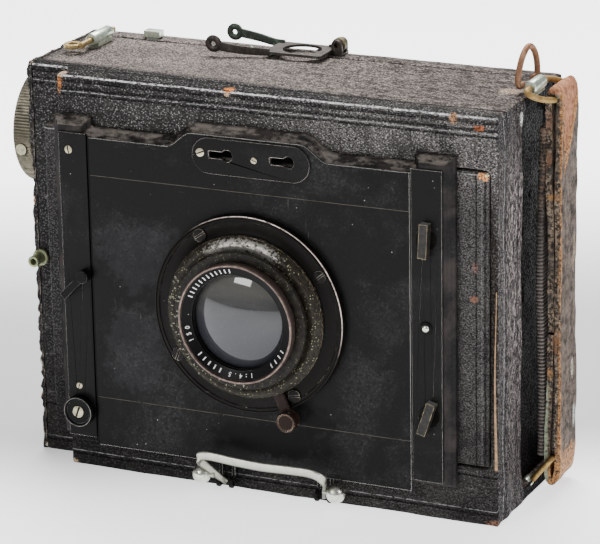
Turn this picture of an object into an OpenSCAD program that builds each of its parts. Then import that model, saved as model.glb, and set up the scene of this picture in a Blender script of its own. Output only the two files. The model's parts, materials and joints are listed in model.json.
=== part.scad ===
// Folding strut camera with a focal-plane shutter, closed for carrying.
// Origin: mouth of the tripod bush, on the foot. +Z up, +X right seen from the front, -Y forwards.

/* [Box] */
// Height of the box from its foot to its top
body_h = 143; // [143:0.5:145]
// Depth of the box from its front lips to its back cover
body_d = 60; // [60:0.5:61]
// Distance from the lens axis to the left end of the front lips
lip_left = 74.3; // [74:0.1:75]
// Distance from the lens axis to the right side of the box
body_right = 87.3; // [87.3:0.1:88]
// Distance from the lens axis to the outside of the gear cheek
cheek_left = 91; // [91:0.1:92]
// How far the front of the gear cheek stands behind the front lips
cheek_setback = 9.4; // [9:0.1:10]
// Thickness of the box's wooden walls
wall = 3; // [2.8:0.1:3]

/* [Front] */
// Top of the lower front lip
chamber_low = 20.7; // [20.5:0.1:20.7]
// Underside of the upper front lip
chamber_high = 124.3; // [124.3:0.1:124.6]
// Width of the leather-covered front board
board_w = 164; // [163:0.5:164]
// Thickness of the front board
board_t = 6; // [5.5:0.1:6]
// Thickness of the black frame block on the front board
block_t = 4.7; // [4.5:0.1:4.8]
// Width of the bevel round the frame block
bevel = 2.4; // [1:0.1:2.5]
// Thickness of the sheet that the sliding panel and its rails are cut from
sheet_t = 0.75; // [0.7:0.05:0.8]

/* [Lens] */
// Height of the lens axis above the foot
lens_z = 67.3; // [67:0.1:67.6]
// Radius of the lens flange
flange_r = 35; // [34:0.5:35]
// Thickness of the lens flange
flange_t = 3; // [3:0.1:3.1]
// Radius of the focusing ring
focus_r = 28.5; // [28:0.1:29]
// Radius of the lens rim that a slip-on cap or filter fits over
rim_r = 21; // [21:0.1:21.2]
// Radius of the front glass
glass_r = 16.65; // [16:0.05:17]
// Running clearance between a shaft and its hole
fit = 0.05; // [0.03:0.01:0.08]

/* [Struts] */
// Length of a strut link between its end pins
link_l = 96; // [95:0.5:96]
// Width of a strut link
link_w = 5; // [4.5:0.1:5]
// Thickness of a strut link
link_t = 1.2; // [1:0.1:1.2]
// Lean of the links when the camera is closed, in degrees
lean = 3.3; // [3.3:0.1:3.5]

/* [Winding gear] */
// Teeth of the gear on the winding knob
knob_teeth = 24; // [24:1:24]
// Teeth of the gear on the upper shutter roller
roller_teeth = 16; // [16:1:16]
// Gear module
gear_m = 0.8; // [0.75:0.05:0.8]
// Radius of the winding knob
knob_r = 20.5; // [20:0.1:20.8]

/* [Tripod] */
// Radius of the threaded hole of the tripod bush
bush_r = 4.76; // [4.7:0.01:4.8]
// Depth of the threaded hole of the tripod bush
bush_depth = 8; // [7:0.5:8]

/* [Hidden] */
$fn = 64;

// Levels along Y, front to back
front_y = -body_d / 2;
cheek_y = front_y + cheek_setback;
board_y = front_y + board_t;
block_y = front_y - block_t;
sheet_y = block_y - 0.05;
panel_y = sheet_y - sheet_t;
shutter_y = -6;
rear_y = 22;
back_y = body_d / 2;

// Levels along X
partition_x = -80.2;
partition_t = 1.6;
chamber_right = 84.3;
shutter_right = 80.8;
recess_x = 84;
cover_t = 2;
board_left = -80;

// Keyholes for an accessory
key_x = [-7.4, 15.1];
key_z = 121.9;

// Sliding panel and the black frame block
block_l = -74.8;
block_r = 73;
block_low = 13;
block_high = 129;
block_mid = 125.5;
hump_h = 5.5;
ear_l = -60.5;
ear_r = 58.4;
panel_l = -60.4;
panel_r = 58.2;
panel_low = 11.1;
panel_high = 122.9;
panel_rise = 12;
tube_r = 28;

// Winding gear
knob_c = [1.7, 114.9];
gear_gap = gear_m * (knob_teeth + roller_teeth) / 2;
roller_z = 128;
roller_c = [knob_c[0] + sqrt(gear_gap * gear_gap - pow(roller_z - knob_c[1], 2)), roller_z];
lower_c = [roller_c[0], 13];
mesh_a = atan2(roller_c[1] - knob_c[1], roller_c[0] - knob_c[0]);
pressure = 20;
roller_r = 4;
journal_r = 1.45;
knob_in = cheek_left + 0.3;
knob_out = cheek_left + 8;

// Struts: layer a lies outboard, layer b inboard
strut_y = -8.7;
strut_low = 24.5;
pin_r = 1;
link_gap = 0.4;
left_a = -79;
right_a = 83;
stage = link_l * sin(lean);
rise = link_l * cos(lean);

// Small fittings
release_c = [-88, 72.5];
release_tip = -27.2;
bail_y = -32.8;
bail_z = 3;
fork_x = 6.8;
fork_z = 146.6;
ring_x = 83.4;
ring_z = 145.4;
wire_r = 0.95;
eyelet_c = [-78, 146];
barrel_r = 2.4;
door_hinge = [27.6, 128.3];
rim_screw_z = 110.5;
handle_y = [7, 23];

// A box between two opposite corners
module span(lo, hi) {
  translate(lo) cube(hi - lo);
}

// Round bars along X, Y and Z; c holds the two other coordinates in X, Y, Z order
module bar_x(c, r, x0, x1) {
  translate([x0, c[0], c[1]]) rotate([0, 90, 0]) cylinder(r = r, h = x1 - x0);
}
module bar_y(c, r, y0, y1) {
  translate([c[0], y1, c[1]]) rotate([90, 0, 0]) cylinder(r = r, h = y1 - y0);
}
module bar_z(c, r, z0, z1) {
  translate([c[0], c[1], z0]) cylinder(r = r, h = z1 - z0);
}

// A plate in the XZ plane from y0 to y1
module plate_y(y0, y1) {
  translate([0, y1, 0]) rotate([90, 0, 0]) linear_extrude(y1 - y0) children();
}

// A plate in the YZ plane from x0 to x1
module plate_x(x0, x1) {
  translate([x0, 0, 0]) rotate([90, 0, 90]) linear_extrude(x1 - x0) children();
}

// A turned piece about the lens axis; points are [radius, distance forward of the origin plane]
module turned(points) {
  translate([0, 0, lens_z]) rotate([90, 0, 0]) rotate_extrude($fn = 96) polygon(points);
}

// A slotted screw head that faces forwards
module screw(c, r, y, t = 0.7, turn = 30) {
  difference() {
    bar_y(c, r, y - t, y);
    translate([c[0], y - t, c[1]]) rotate([0, turn, 0]) cube([3 * r, 0.6, r * 0.3], center = true);
  }
}

// Smooth step from 0 to 1
function blend(t) = 3 * t * t - 2 * t * t * t;

// The hump's upper edge as points between x = from and x = to, rising from z by h
function hump(from, to, z, h, n = 8) = [for (i = [0:n]) [from + (to - from) * i / n, z + h * blend(i / n)]];

// Closing points of the frame block, right of the hump
function block_close(i) = [[ear_r + i, block_mid - i], [ear_r + i, block_high - i],
  [block_r - i, block_high - i], [block_r - i, block_low + i]];

function reversed(v) = [for (i = [len(v) - 1:-1:0]) v[i]];

// Upper edge with the hump, left to right, at height z
function hump_edge(z) = concat(hump(-30.3, -21.1, z, hump_h), reversed(hump(29.2, 19.2, z, hump_h)));

module block_shape(i) {
  polygon(concat([[block_l + i, block_low + i], [block_l + i, block_high - i],
    [ear_l - i, block_high - i], [ear_l - i, block_mid - i]], hump_edge(block_mid - i), block_close(i)));
}

// Slot that lets the lens tube through while the panel rises
module tube_slot(r) {
  translate([0, lens_z]) circle(r);
  translate([-r, lens_z]) square([2 * r, panel_rise]);
  translate([0, lens_z + panel_rise]) circle(r);
}

// Involute gear outline; tooth 0 points along the first axis
function inv(a) = tan(a) * 180 / PI - a;
function flank(n, rho) = let(base = gear_m * n / 2 * cos(pressure), rr = max(rho, base))
  90 / n - 0.7 + inv(pressure) - inv(acos(base / rr));
function gear_points(n, steps = 4) = let(r = gear_m * n / 2, root = r - 1.2 * gear_m,
    tip = r + 0.95 * gear_m, low = max(root, r * cos(pressure)))
  [for (k = [0:n - 1]) for (s = [0:2 * steps + 3])
    let(up = s <= steps + 1, j = up ? s : 2 * steps + 3 - s,
      rho = j == 0 ? root : low + (tip - low) * (j - 1) / steps,
      a = 360 * k / n + (up ? -1 : 1) * flank(n, rho))
    rho * [cos(a), sin(a)]];

module gear(n, c, turn, x0, x1) {
  plate_x(x0, x1) translate(c) rotate(turn) polygon(gear_points(n));
}

// ---------------------------------------------------------------- box

module body_shell() {
  color("#1d1b1a") difference() {
    union() {
      span([-cheek_left + cover_t, cheek_y, 0], [body_right, rear_y, body_h]);
      span([-lip_left, front_y, 0], [body_right, cheek_y + 0.1, body_h]);
    }
    // front chamber, open to the front
    span([partition_x, front_y - 1, chamber_low], [chamber_right, shutter_y, chamber_high]);
    // room behind the lips
    span([partition_x, cheek_y + 2, wall], [chamber_right, shutter_y, body_h - wall]);
    // shutter chamber, open to the back
    span([partition_x, shutter_y - 0.1, wall], [shutter_right, rear_y + 1, body_h - wall]);
    // gear chamber behind the cheek cover
    span([-cheek_left, cheek_y + 2, wall], [partition_x - partition_t, rear_y - 2, body_h - wall]);
    // hollow in the right side behind the handle
    span([recess_x, -5, 5], [body_right + 1, rear_y + 1, body_h - 5]);
    bar_x(roller_c, journal_r + 0.15, -85, -75);
    bar_x(knob_c, 2 + fit, -85, -75);
    bar_z([0, 0], 7.5, -1, wall + 1);
    bar_y(release_c, 2.1, cheek_y - 1, cheek_y + 3);
  }
}

module cheek_cover() {
  color("#232120") difference() {
    span([-cheek_left, cheek_y, 0], [-cheek_left + cover_t, rear_y, body_h]);
    bar_x(knob_c, 3 + fit, -cheek_left - 1, -cheek_left + cover_t + 1);
    bar_y(release_c, 2.1, cheek_y - 1, cheek_y + 9);
    bar_y(release_c, 2.9, cheek_y + 8.9, cheek_y + 16);
  }
}

module tripod_bush() {
  color("#b39a5b") difference() {
    union() {
      bar_z([0, 0], 7.45, 0, bush_depth + 2);
      bar_z([0, 0], 9, wall, wall + 1.2);
    }
    bar_z([0, 0], bush_r, -1, bush_depth);
  }
}

// ---------------------------------------------------------------- shutter

module shutter_frame() {
  color("#2a2a2a") difference() {
    union() {
      span([partition_x + 0.1, shutter_y + 0.1, 10.6], [shutter_right - 0.1, shutter_y + 2, 139.8]);
      for (x = [partition_x + 0.1, shutter_right - 2.1])
        span([x, shutter_y + 1, 3.2], [x + 2, 20, 139.8]);
    }
    span([-60, shutter_y - 1, 22], [60, shutter_y + 3, 112]);
    for (c = [roller_c, lower_c]) bar_x(c, journal_r + fit, -90, 90);
  }
}

module curtain() {
  color("#0f0f0f") difference() {
    span([-70, roller_c[0] + 4.3, lower_c[1]], [70, roller_c[0] + 4.7, roller_c[1]]);
    span([-60, roller_c[0] + 4, 96], [60, roller_c[0] + 5, 101]);
  }
}

module roller_upper() {
  color("#8f8a80") {
    bar_x(roller_c, roller_r, -77.5, 78.1);
    bar_x(roller_c, journal_r, -88.4, 80.4);
    gear(roller_teeth, roller_c, mesh_a + 180 + 180 / roller_teeth, -87.3, -83.7);
  }
}

module roller_lower() {
  color("#8f8a80") {
    bar_x(lower_c, roller_r, -77.5, 78.1);
    bar_x(lower_c, journal_r, -79.8, 80.4);
  }
}

module winding_knob() {
  color("#6d675c") translate([0, knob_c[0], knob_c[1]]) rotate([0, -90, 0])
    difference() {
      rotate_extrude($fn = 96) polygon([[3, knob_in], [knob_r - 0.8, knob_in], [knob_r, knob_in + 0.8],
        [knob_r, knob_out - 1], [knob_r - 1, knob_out], [knob_r - 4, knob_out],
        [knob_r - 5, knob_out - 1.2], [3, knob_out - 1.2]]);
      // seat of the rim screw
      translate([rim_screw_z - knob_c[1], 0, knob_in + 4]) rotate([90, 0, 0]) cylinder(r = 1.1, h = 30);
    }
}

module winder_gear() {
  color("#8f8a80") {
    bar_x(knob_c, 3, -knob_out + 0.8, -82.2);
    bar_x(knob_c, 2, -82.3, -80.4);
    gear(knob_teeth, knob_c, mesh_a, -87.3, -83.7);
  }
}

module knob_screw() {
  rim_y = knob_c[0] - sqrt(knob_r * knob_r - pow(rim_screw_z - knob_c[1], 2));
  color("#cfc9b4") {
    bar_y([-knob_in - 4, rim_screw_z], 1.05, rim_y + 0.2, rim_y + 4);
    bar_y([-knob_in - 4, rim_screw_z], 2, rim_y - 0.9, rim_y + 0.2);
  }
}

module release_socket() {
  color("#7f9180") difference() {
    union() {
      bar_y(release_c, 2.05, release_tip, cheek_y + 10);
      bar_y(release_c, 3, cheek_y - 1.4, cheek_y);
    }
    bar_y(release_c, 1.1, release_tip - 1, release_tip + 6.2);
    bar_y(release_c, 1.4 + fit, release_tip + 6.1, cheek_y + 11);
  }
}

module release_plunger() {
  color("#a9a9a0") {
    bar_y(release_c, 1.4, release_tip + 6.4, cheek_y + 10.4);
    bar_y(release_c, 2.4, cheek_y + 10.3, cheek_y + 11.4);
  }
}

// ---------------------------------------------------------------- front standard

module front_board() {
  color("#262423") plate_y(front_y, board_y) difference() {
    translate([board_left, 21]) square([board_w, 103]);
    tube_slot(tube_r + 0.8);
    for (c = [[64, 100.8], [64.7, 38.7], [-62.7, 73.4], [-66.5, 23.3]])
      translate(c) circle(1.2 + fit);
  }
}

module front_block() {
  color("#17181a") difference() {
    union() {
      plate_y(block_y + bevel, front_y) block_shape(0);
      plate_y(block_y + bevel / 2, block_y + bevel) block_shape(bevel / 2);
      plate_y(block_y, block_y + bevel / 2) block_shape(bevel);
    }
    plate_y(block_y - 1, front_y + 1) tube_slot(tube_r + 0.8);
    // room behind the keyholes
    span([-16, block_y - 1, key_z - 3], [19, front_y - 0.8, key_z + 3]);
    for (c = [[64, 100.8], [64.7, 38.7], [-62.7, 73.4], [-66.5, 23.3]])
      bar_y(c, 1.2 + fit, block_y - 1, front_y + 1);
  }
}

module rail_left() {
  color("#1a1b1d") plate_y(panel_y, sheet_y + 0.05) difference() {
    translate([-71.4, 13.5]) square([10.6, 110.5]);
    for (c = [[-62.7, 73.4], [-66.5, 23.3]]) translate(c) circle(1.2 + fit);
  }
}

module rail_right() {
  color("#1a1b1d") plate_y(panel_y, sheet_y + 0.05) difference() {
    translate([58.6, 15.3]) square([10.9, 109.1]);
    for (c = [[64, 100.8], [64.7, 38.7]]) translate(c) circle(1.2 + fit);
  }
}

module front_screws() {
  color("#b8b39c") {
    screw([-67.6, 117.9], 1.5, panel_y, 0.5, 80);
    screw([-66.9, 32.1], 1.4, panel_y, 0.5, 60);
    translate([63.8, panel_y, 69.9]) intersection() {
      sphere(r = 1.9);
      translate([-3, -3, -3]) cube([6, 3, 6]);
    }
  }
}

module lens_panel() {
  color("#202225") plate_y(panel_y, sheet_y) difference() {
    polygon(concat([[panel_l, panel_low], [panel_l, panel_high]], hump_edge(panel_high),
      [[panel_r, panel_high], [panel_r, panel_low]]));
    translate([0, lens_z]) circle(tube_r + 0.1);
    keyholes();
  }
}

module keyhole_plate() {
  color("#23262a") plate_y(panel_y - 0.8, panel_y) difference() {
    stadium(-14.05, 16.55, 121.35, 6.35);
    keyholes();
  }
}

// Two keyholes: a round hole with a narrower slot to its left
module keyholes() {
  for (x = key_x) translate([x, key_z]) {
    translate([-6.7, -1.2]) square([6, 2.4]);
    circle(2);
  }
}

// A flat bar with round ends, its centres at x0 and x1
module stadium(x0, x1, z, r) {
  translate([x0, z]) circle(r);
  translate([x0, z - r]) square([x1 - x0, 2 * r]);
  translate([x1, z]) circle(r);
}

module panel_screws() {
  color("#a8a498") {
    screw([-17.2, 122.3], 1.3, panel_y - 0.8, 0.4, 60);
    screw([2.6, 121.4], 1.3, panel_y - 0.8, 0.4, 20);
    for (a = [123, 32, 213, 302])
      screw([31.6 * cos(a), lens_z + 31.6 * sin(a)], 2.1, panel_y - flange_t, 0.35, 50);
  }
}

// Turn buttons: a stud through the rail with a round bar across it
module turn_button(c, r, len, turn, y) {
  translate([c[0], 0, c[1]]) rotate([0, turn, 0]) {
    translate([-r, y - r, -len / 2]) cube([2 * r, 2 * r, len]);
    translate([0, y, 0]) rotate([-90, 0, 0]) cylinder(r = 1.2, h = board_y - 4 - y);
  }
}

module latch_upper() {
  color("#2b2926") turn_button([64, 100.8], 1.5, 11.8, 3, panel_y - 1.9);
}

module latch_lower() {
  color("#2b2926") turn_button([64.7, 38.7], 1.5, 11.8, 18, panel_y - 1.9);
}

module lever_left() {
  hub = panel_y - 3.5;
  color("#2b2926") translate([-62.7, 0, 73.4]) rotate([0, 45, 0]) {
    translate([0, hub, 0]) rotate([-90, 0, 0]) cylinder(r = 2.2, h = 3.2);
    translate([0, hub + 3, 0]) rotate([-90, 0, 0]) cylinder(r = 1.2, h = board_y - 7 - hub);
    translate([-1.3, hub + 0.3, -11.2]) cube([2.6, 2.6, 10]);
  }
}

module lock_knob() {
  c = [-66.5, 23.3];
  dish = panel_y - 2.6;
  color("#1f1f20") translate([c[0], 0, c[1]]) rotate([90, 0, 0]) rotate_extrude()
    polygon([[0, 4 - board_y], [1.2, 4 - board_y], [1.2, 0.3 - panel_y], [5.3, 0.3 - panel_y],
      [5.3, 3.4 - panel_y], [4.5, 3.4 - panel_y], [4.5, -dish], [2.8, -dish],
      [2.8, 0.5 - dish], [0, 0.5 - dish]]);
}

// ---------------------------------------------------------------- lens

flange_front = -panel_y + flange_t;
focus_back = flange_front + 0.3;
focus_front = focus_back + 4.2;
aperture_back = focus_front + 0.3;
aperture_front = aperture_back + 2.1;
rim_front = aperture_front + 3.9;
sleeve_r = 26;
barrel_or = 22.6;
seat_r = 20.6;

module lens_flange() {
  color("#1c1c1d") turned([[sleeve_r + fit, 22], [tube_r, 22], [tube_r, -panel_y],
    [flange_r - 0.4, -panel_y], [flange_r, -panel_y + 0.4], [flange_r, flange_front - 0.6],
    [flange_r - 0.6, flange_front], [sleeve_r + fit, flange_front]]);
}

module focus_ring() {
  color("#3a3a30") {
    turned([[barrel_or + fit, 26], [sleeve_r, 26], [sleeve_r, focus_back], [focus_r, focus_back],
      [focus_r, focus_back + 2.6], [focus_r - 1.6, focus_front], [barrel_or + fit, focus_front]]);
    // arm and button
    translate([0, 0, lens_z]) rotate([0, -23.7, 0]) {
      span([-2.2, -focus_back - 1.6, -38.3], [2.2, -focus_back - 0.2, -27.5]);
      translate([0, -focus_back - 0.1, -38.3]) rotate([90, 0, 0]) cylinder(r = 3.6, h = 4.4);
    }
  }
}

module lens_barrel() {
  color("#26241f") turned([[glass_r, 24], [barrel_or, 24], [barrel_or, focus_front + 0.1],
    [seat_r, focus_front + 0.1], [seat_r, aperture_front + 0.1], [glass_r, aperture_front + 0.1]]);
}

module aperture_ring() {
  color("#2d2b22") turned([[seat_r + fit, aperture_back], [24, aperture_back],
    [24.5, aperture_back + 0.5], [24.1, aperture_front - 0.2], [seat_r + fit, aperture_front - 0.2]]);
}

module front_rim() {
  color("#4a3f33") turned([[glass_r + 0.2, aperture_front + 0.1], [rim_r, aperture_front + 0.1],
    [rim_r, rim_front - 0.4], [rim_r - 0.4, rim_front], [rim_r - 1, rim_front],
    [rim_r - 1.4, rim_front - 1], [glass_r + 0.2, rim_front - 2.2]]);
}

module lens_glass() {
  color([0.75, 0.8, 0.85, 0.4]) {
    // front element, bulging forwards
    translate([0, 0, lens_z]) rotate([90, 0, 0]) translate([0, 0, aperture_front - 2.6])
      intersection() {
        cylinder(r = glass_r, h = 8);
        translate([0, 0, -42 + 6.2]) sphere(r = 42, $fn = 96);
      }
    // rear element
    translate([0, 0, lens_z]) rotate([90, 0, 0]) translate([0, 0, 26]) cylinder(r = glass_r, h = 3.5);
  }
}

module iris() {
  color("#111111") turned([[13, 37.6], [glass_r, 37.6], [glass_r, 38.4], [13, 38.4]]);
}

// ---------------------------------------------------------------- bellows and struts

module bellows() {
  color("#161616") plate_y(board_y + 0.2, shutter_y - 0.2) difference() {
    translate([-72, 26]) square([148, 93]);
    translate([-63, 34.5]) square([130, 76]);
  }
}

// A strut link in the plane x = 0..link_t, from its lower pin at [y, z] leaning by a
module link_bar(y, z, a, low_hole, mid_hole, top_hole) {
  translate([0, y, z]) rotate([a, 0, 0]) difference() {
    union() {
      rotate([0, 90, 0]) cylinder(r = link_w / 2, h = link_t);
      translate([0, -link_w / 2, 0]) cube([link_t, link_w, link_l]);
      translate([0, 0, link_l]) rotate([0, 90, 0]) cylinder(r = link_w / 2, h = link_t);
    }
    if (low_hole) translate([-1, 0, 0]) rotate([0, 90, 0]) cylinder(r = pin_r + fit, h = 4);
    if (mid_hole) translate([-1, 0, link_l / 2]) rotate([0, 90, 0]) cylinder(r = pin_r + fit, h = 4);
    if (top_hole) translate([-1, 0, link_l]) rotate([0, 90, 0]) cylinder(r = pin_r + fit, h = 4);
  }
}

// One link of a side. s is +1 when layer a lies at the left wall and -1 at the right wall.
// Stage 1 hangs on the box, stage 2 carries the front board.
module side(s, x) {
  translate([x, 0, 0]) scale([s, 1, 1]) children();
}

module link_a1() {
  link_bar(strut_y, strut_low, lean, true, true, true);
}

module link_b1() {
  b_x = link_t + link_gap;
  translate([b_x, 0, 0]) link_bar(strut_y - stage, strut_low, -lean, true, false, false);
  // centre pin through link a1, top pin into the root bracket
  mid = [strut_y - stage / 2, strut_low + rise / 2];
  bar_x(mid, pin_r, 0, b_x + 0.1);
  bar_x([strut_y, strut_low + rise], pin_r, -0.9, b_x + 0.1);
}

module link_b2() {
  b_x = link_t + link_gap;
  translate([b_x, 0, 0]) link_bar(strut_y - 2 * stage, strut_low, -lean, false, true, false);
  // top pin through link a1, lower pin into the front bracket
  bar_x([strut_y - stage, strut_low + rise], pin_r, 0, b_x + 0.1);
  bar_x([strut_y - 2 * stage, strut_low], pin_r, -0.9, b_x + 0.1);
}

module link_a2() {
  link_bar(strut_y - stage, strut_low, lean, false, false, false);
  // centre pin through link b2, lower pin through link b1, top pin into the front bracket
  b_x = link_t + link_gap;
  bar_x([strut_y - 2 * stage, strut_low + rise], pin_r, -0.9, 0.1);
  bar_x([strut_y - 1.5 * stage, strut_low + rise / 2], pin_r, link_t - 0.1, b_x + link_t);
  bar_x([strut_y - stage, strut_low], pin_r, link_t - 0.1, b_x + link_t);
}

module link_left_a1() { color("#6f6a5e") side(1, left_a) link_a1(); }
module link_left_b1() { color("#777163") side(1, left_a) link_b1(); }
module link_left_b2() { color("#777163") side(1, left_a) link_b2(); }
module link_left_a2() { color("#6f6a5e") side(1, left_a) link_a2(); }
module link_right_a1() { color("#6f6a5e") side(-1, right_a) link_a1(); }
module link_right_b1() { color("#777163") side(-1, right_a) link_b1(); }
module link_right_b2() { color("#777163") side(-1, right_a) link_b2(); }
module link_right_a2() { color("#6f6a5e") side(-1, right_a) link_a2(); }

// Root brackets: a plate on each side wall with the fixed pin below and a slot above
module root_bracket() {
  difference() {
    span([-1, strut_y - 2, 21.5], [-0.4, strut_y + 2, 123.5]);
    span([-2, strut_y - pin_r - 0.2, strut_low + rise - 16], [1, strut_y + pin_r + 0.2, 122]);
  }
  bar_x([strut_y, strut_low], pin_r, -0.5, link_t);
}

module root_brackets() {
  color("#5d594f") {
    side(1, left_a) root_bracket();
    side(-1, right_a) root_bracket();
  }
}

// Front brackets: a slotted angle on the back of the board at each side. The slots are wider
// than their pins by the slack that the front pins of the struts need.
pin_slack = 3.2;
module front_bracket() {
  front_pin = strut_y - 2 * stage;
  difference() {
    span([-0.9, board_y, 21.6], [-0.4, front_pin + pin_r + pin_slack + 1.2, 123.4]);
    for (z = [[strut_low - 1.3, strut_low + 1.3], [strut_low + rise - 16, strut_low + rise + 1.3]])
      span([-2, front_pin - pin_r - 0.3, z[0]], [1, front_pin + pin_r + pin_slack, z[1]]);
  }
  span([-0.5, board_y, 30], [4, board_y + 0.8, 116]);
}

module front_brackets() {
  color("#5d594f") {
    side(1, left_a) front_bracket();
    side(-1, right_a) front_bracket();
  }
}

// ---------------------------------------------------------------- bail

bail_top = [[-18.8, -44, 16.2], [29.4, -44, 14.9]];

module bail() {
  color("#c3c6b8") {
    for (s = [[-16.3, -12.5], [28.2, 24.6]]) {
      // leg from the hinge up to the strap
      hull() {
        translate([s[1], bail_y, bail_z]) rotate([0, 90, 0]) cylinder(r = 1.5, h = 1.2, center = true, $fn = 24);
        translate([s[0], -43, 15]) rotate([0, 90, 0]) cylinder(r = 1.3, h = 1.2, center = true, $fn = 24);
      }
    }
    span([-17, -44, 13.9], [28.9, -42.8, 17]);
    for (x = [-12.5, 24.6]) bar_x([bail_y, bail_z], 0.8, x - lug_gap - 0.8, x + lug_gap + 0.8);
  }
}

module bail_balls() {
  color("#b9c2ae") for (c = [[-19.6, -38, 7.6], [32.6, -38, 7.6]]) {
    translate(c) sphere(r = 3.3, $fn = 48);
    bar_x([c[1], c[2]], 0.9, min(c[0], c[0] < 0 ? -14.2 : 26.4), max(c[0], c[0] < 0 ? -14.2 : 26.4));
  }
}

// Lugs: strips hung from the frame block in front of the lower lip
lug_gap = 2.4;
module bail_lugs() {
  color("#8d9186") for (x = [-12.5, 24.6]) for (side = [-lug_gap, lug_gap])
    translate([x + side - 0.6, 0, 0]) difference() {
      union() {
        span([0, front_y - 1.4, bail_z], [1.2, front_y - 0.3, block_low]);
        bar_x([bail_y, bail_z], 1.9, 0, 1.2);
        span([0, bail_y, bail_z - 0.8], [1.2, front_y - 0.3, bail_z + 1.9]);
      }
      bar_x([bail_y, bail_z], 0.8 + fit, -1, 2);
    }
}

// ---------------------------------------------------------------- top fittings

module finder_base() {
  color("#57524a") difference() {
    union() {
      span([-2, 23.6, body_h], [9, 29.4, body_h + 0.8]);
      for (y = [23.6, 28]) hull() {
        bar_y([fork_x, fork_z], 2, y, y + 1.4);
        span([fork_x - 2, y, body_h], [fork_x + 2, y + 1.4, body_h + 0.5]);
      }
    }
    bar_y([fork_x, fork_z], 0.8 + fit, 20, 32);
  }
}

module finder_fork() {
  color("#4f4c44") {
    difference() {
      union() {
        span([-16, 9, 144.3], [3, 28, 145.3]);
        span([2.5, 25.4, 144.3], [5.2, 27.6, 145.3]);
        span([4.8, 25.4, 144.5], [6.8, 27.6, 147]);
      }
      // long oval window
      translate([-12, 17.5, 143]) cylinder(r = 3.4, h = 4);
      span([-12, 14.1, 143], [-2, 20.9, 147]);
      translate([-2, 17.5, 143]) cylinder(r = 3.4, h = 4);
    }
    bar_y([fork_x, fork_z], 0.8, 23.6, 29.4);
    bar_y([fork_x, fork_z], 1.7, 25.4, 27.6);
    for (y = [9, 27]) {
      span([-32, y, 144.4], [-15, y + 1, 147.4]);
      difference() {
        bar_y([-33.4, 147.4], 3, y, y + 1);
        bar_y([-33.4, 147.4], 0.9, y - 1, y + 2);
      }
    }
  }
}

module strap_barrels() {
  color("#c5ccb8") {
    // left barrel lies fore and aft, its eyelet hangs in the front end
    difference() {
      union() {
        bar_y(eyelet_c, barrel_r, 1, 20);
        span([eyelet_c[0] - 2, 3, body_h], [eyelet_c[0] + 2, 19, eyelet_c[1]]);
      }
      bar_y(eyelet_c, wire_r + fit, 0, 21);
    }
    // right barrel carries the strap ring and the upper handle wire
    difference() {
      union() {
        bar_y([87.4, 145.5], barrel_r, -4, 11);
        span([80.5, -1, body_h], [body_right, 10, body_h + 0.9]);
        for (y = [1.4, 12.4]) bar_y([ring_x, ring_z], 1.9, y, y + 1);
        for (y = [1.4, 12.4]) span([ring_x - 1.9, y, body_h], [ring_x + 1.9, y + 1, ring_z]);
      }
      bar_y([ring_x, ring_z], wire_r + fit, -5, 20);
    }
  }
}

module lug_eyelet() {
  loop_c = [eyelet_c[0] - 3.6, -3.4, eyelet_c[1] - 1.2];
  color("#b99b4f") {
    bar_y(eyelet_c, wire_r, loop_c[1] - 0.9, 20.6);
    difference() {
      union() {
        translate(loop_c) cylinder(r = 3.2, h = 1.4);
        translate(loop_c + [0, -0.9, 0]) cube([4.2, 1.8, 1.4]);
      }
      translate(loop_c - [0, 0, 1]) cylinder(r = 1.7, h = 4);
    }
  }
}

module strap_ring() {
  half = 8.2;
  mid_y = 6.9;
  color("#a8623a") {
    translate([ring_x, mid_y, ring_z + 4.8]) rotate([0, -90, 0]) rotate([0, 0, -90])
      rotate_extrude(angle = 180) translate([half, 0]) circle(wire_r, $fn = 24);
    for (s = [-1, 1]) bar_z([ring_x, mid_y + s * half], wire_r, ring_z, ring_z + 4.8);
    for (s = [-1, 1]) {
      translate([ring_x, mid_y + s * half, ring_z]) sphere(r = wire_r);
      bar_y([ring_x, ring_z], wire_r, min(mid_y + s * half, mid_y + s * 4.4), max(mid_y + s * half, mid_y + s * 4.4));
    }
  }
}

// ---------------------------------------------------------------- handle

wire_x = 93.3;
wire_top = 139.4;
wire_low = 7.4;

// A wire loop that stands out of the side at height z, rooted at x0
module wire_loop(z, x0) {
  ends = [handle_y[0] - 1.8, handle_y[1] + 1.8];
  bar_y([wire_x, z], wire_r, ends[0] - wire_r, ends[1] + wire_r);
  for (y = ends) bar_x([y, z], wire_r - 0.05, x0, wire_x);
}

module handle_wires() {
  color("#a3763d") {
    wire_loop(wire_top, body_right);
    wire_loop(wire_low, recess_x);
  }
}

// A strap seen from the end, straight along Z with round ends and slots for the wires
module strap_profile(x0, x1, z0, z1) {
  r = (x1 - x0) / 2;
  translate([x0, z0 + r]) square([x1 - x0, z1 - z0 - 2 * r]);
  translate([x0 + r, z0 + r]) circle(r);
  translate([x0 + r, z1 - r]) circle(r);
}

module handle_strap() {
  color("#2b2622") plate_y(handle_y[0], handle_y[1]) difference() {
    strap_profile(89.8, 95.8, 1.2, 144.6);
    for (z = [wire_low, wire_top]) translate([wire_x - 2.6, z - 1.25]) square([3.6, 2.5]);
  }
}

module handle_lining() {
  color("#3a322b") plate_y(handle_y[0] + 1.5, handle_y[1] - 1.5) strap_profile(86.6, 89.5, 12.5, 130);
}

// ---------------------------------------------------------------- back

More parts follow.
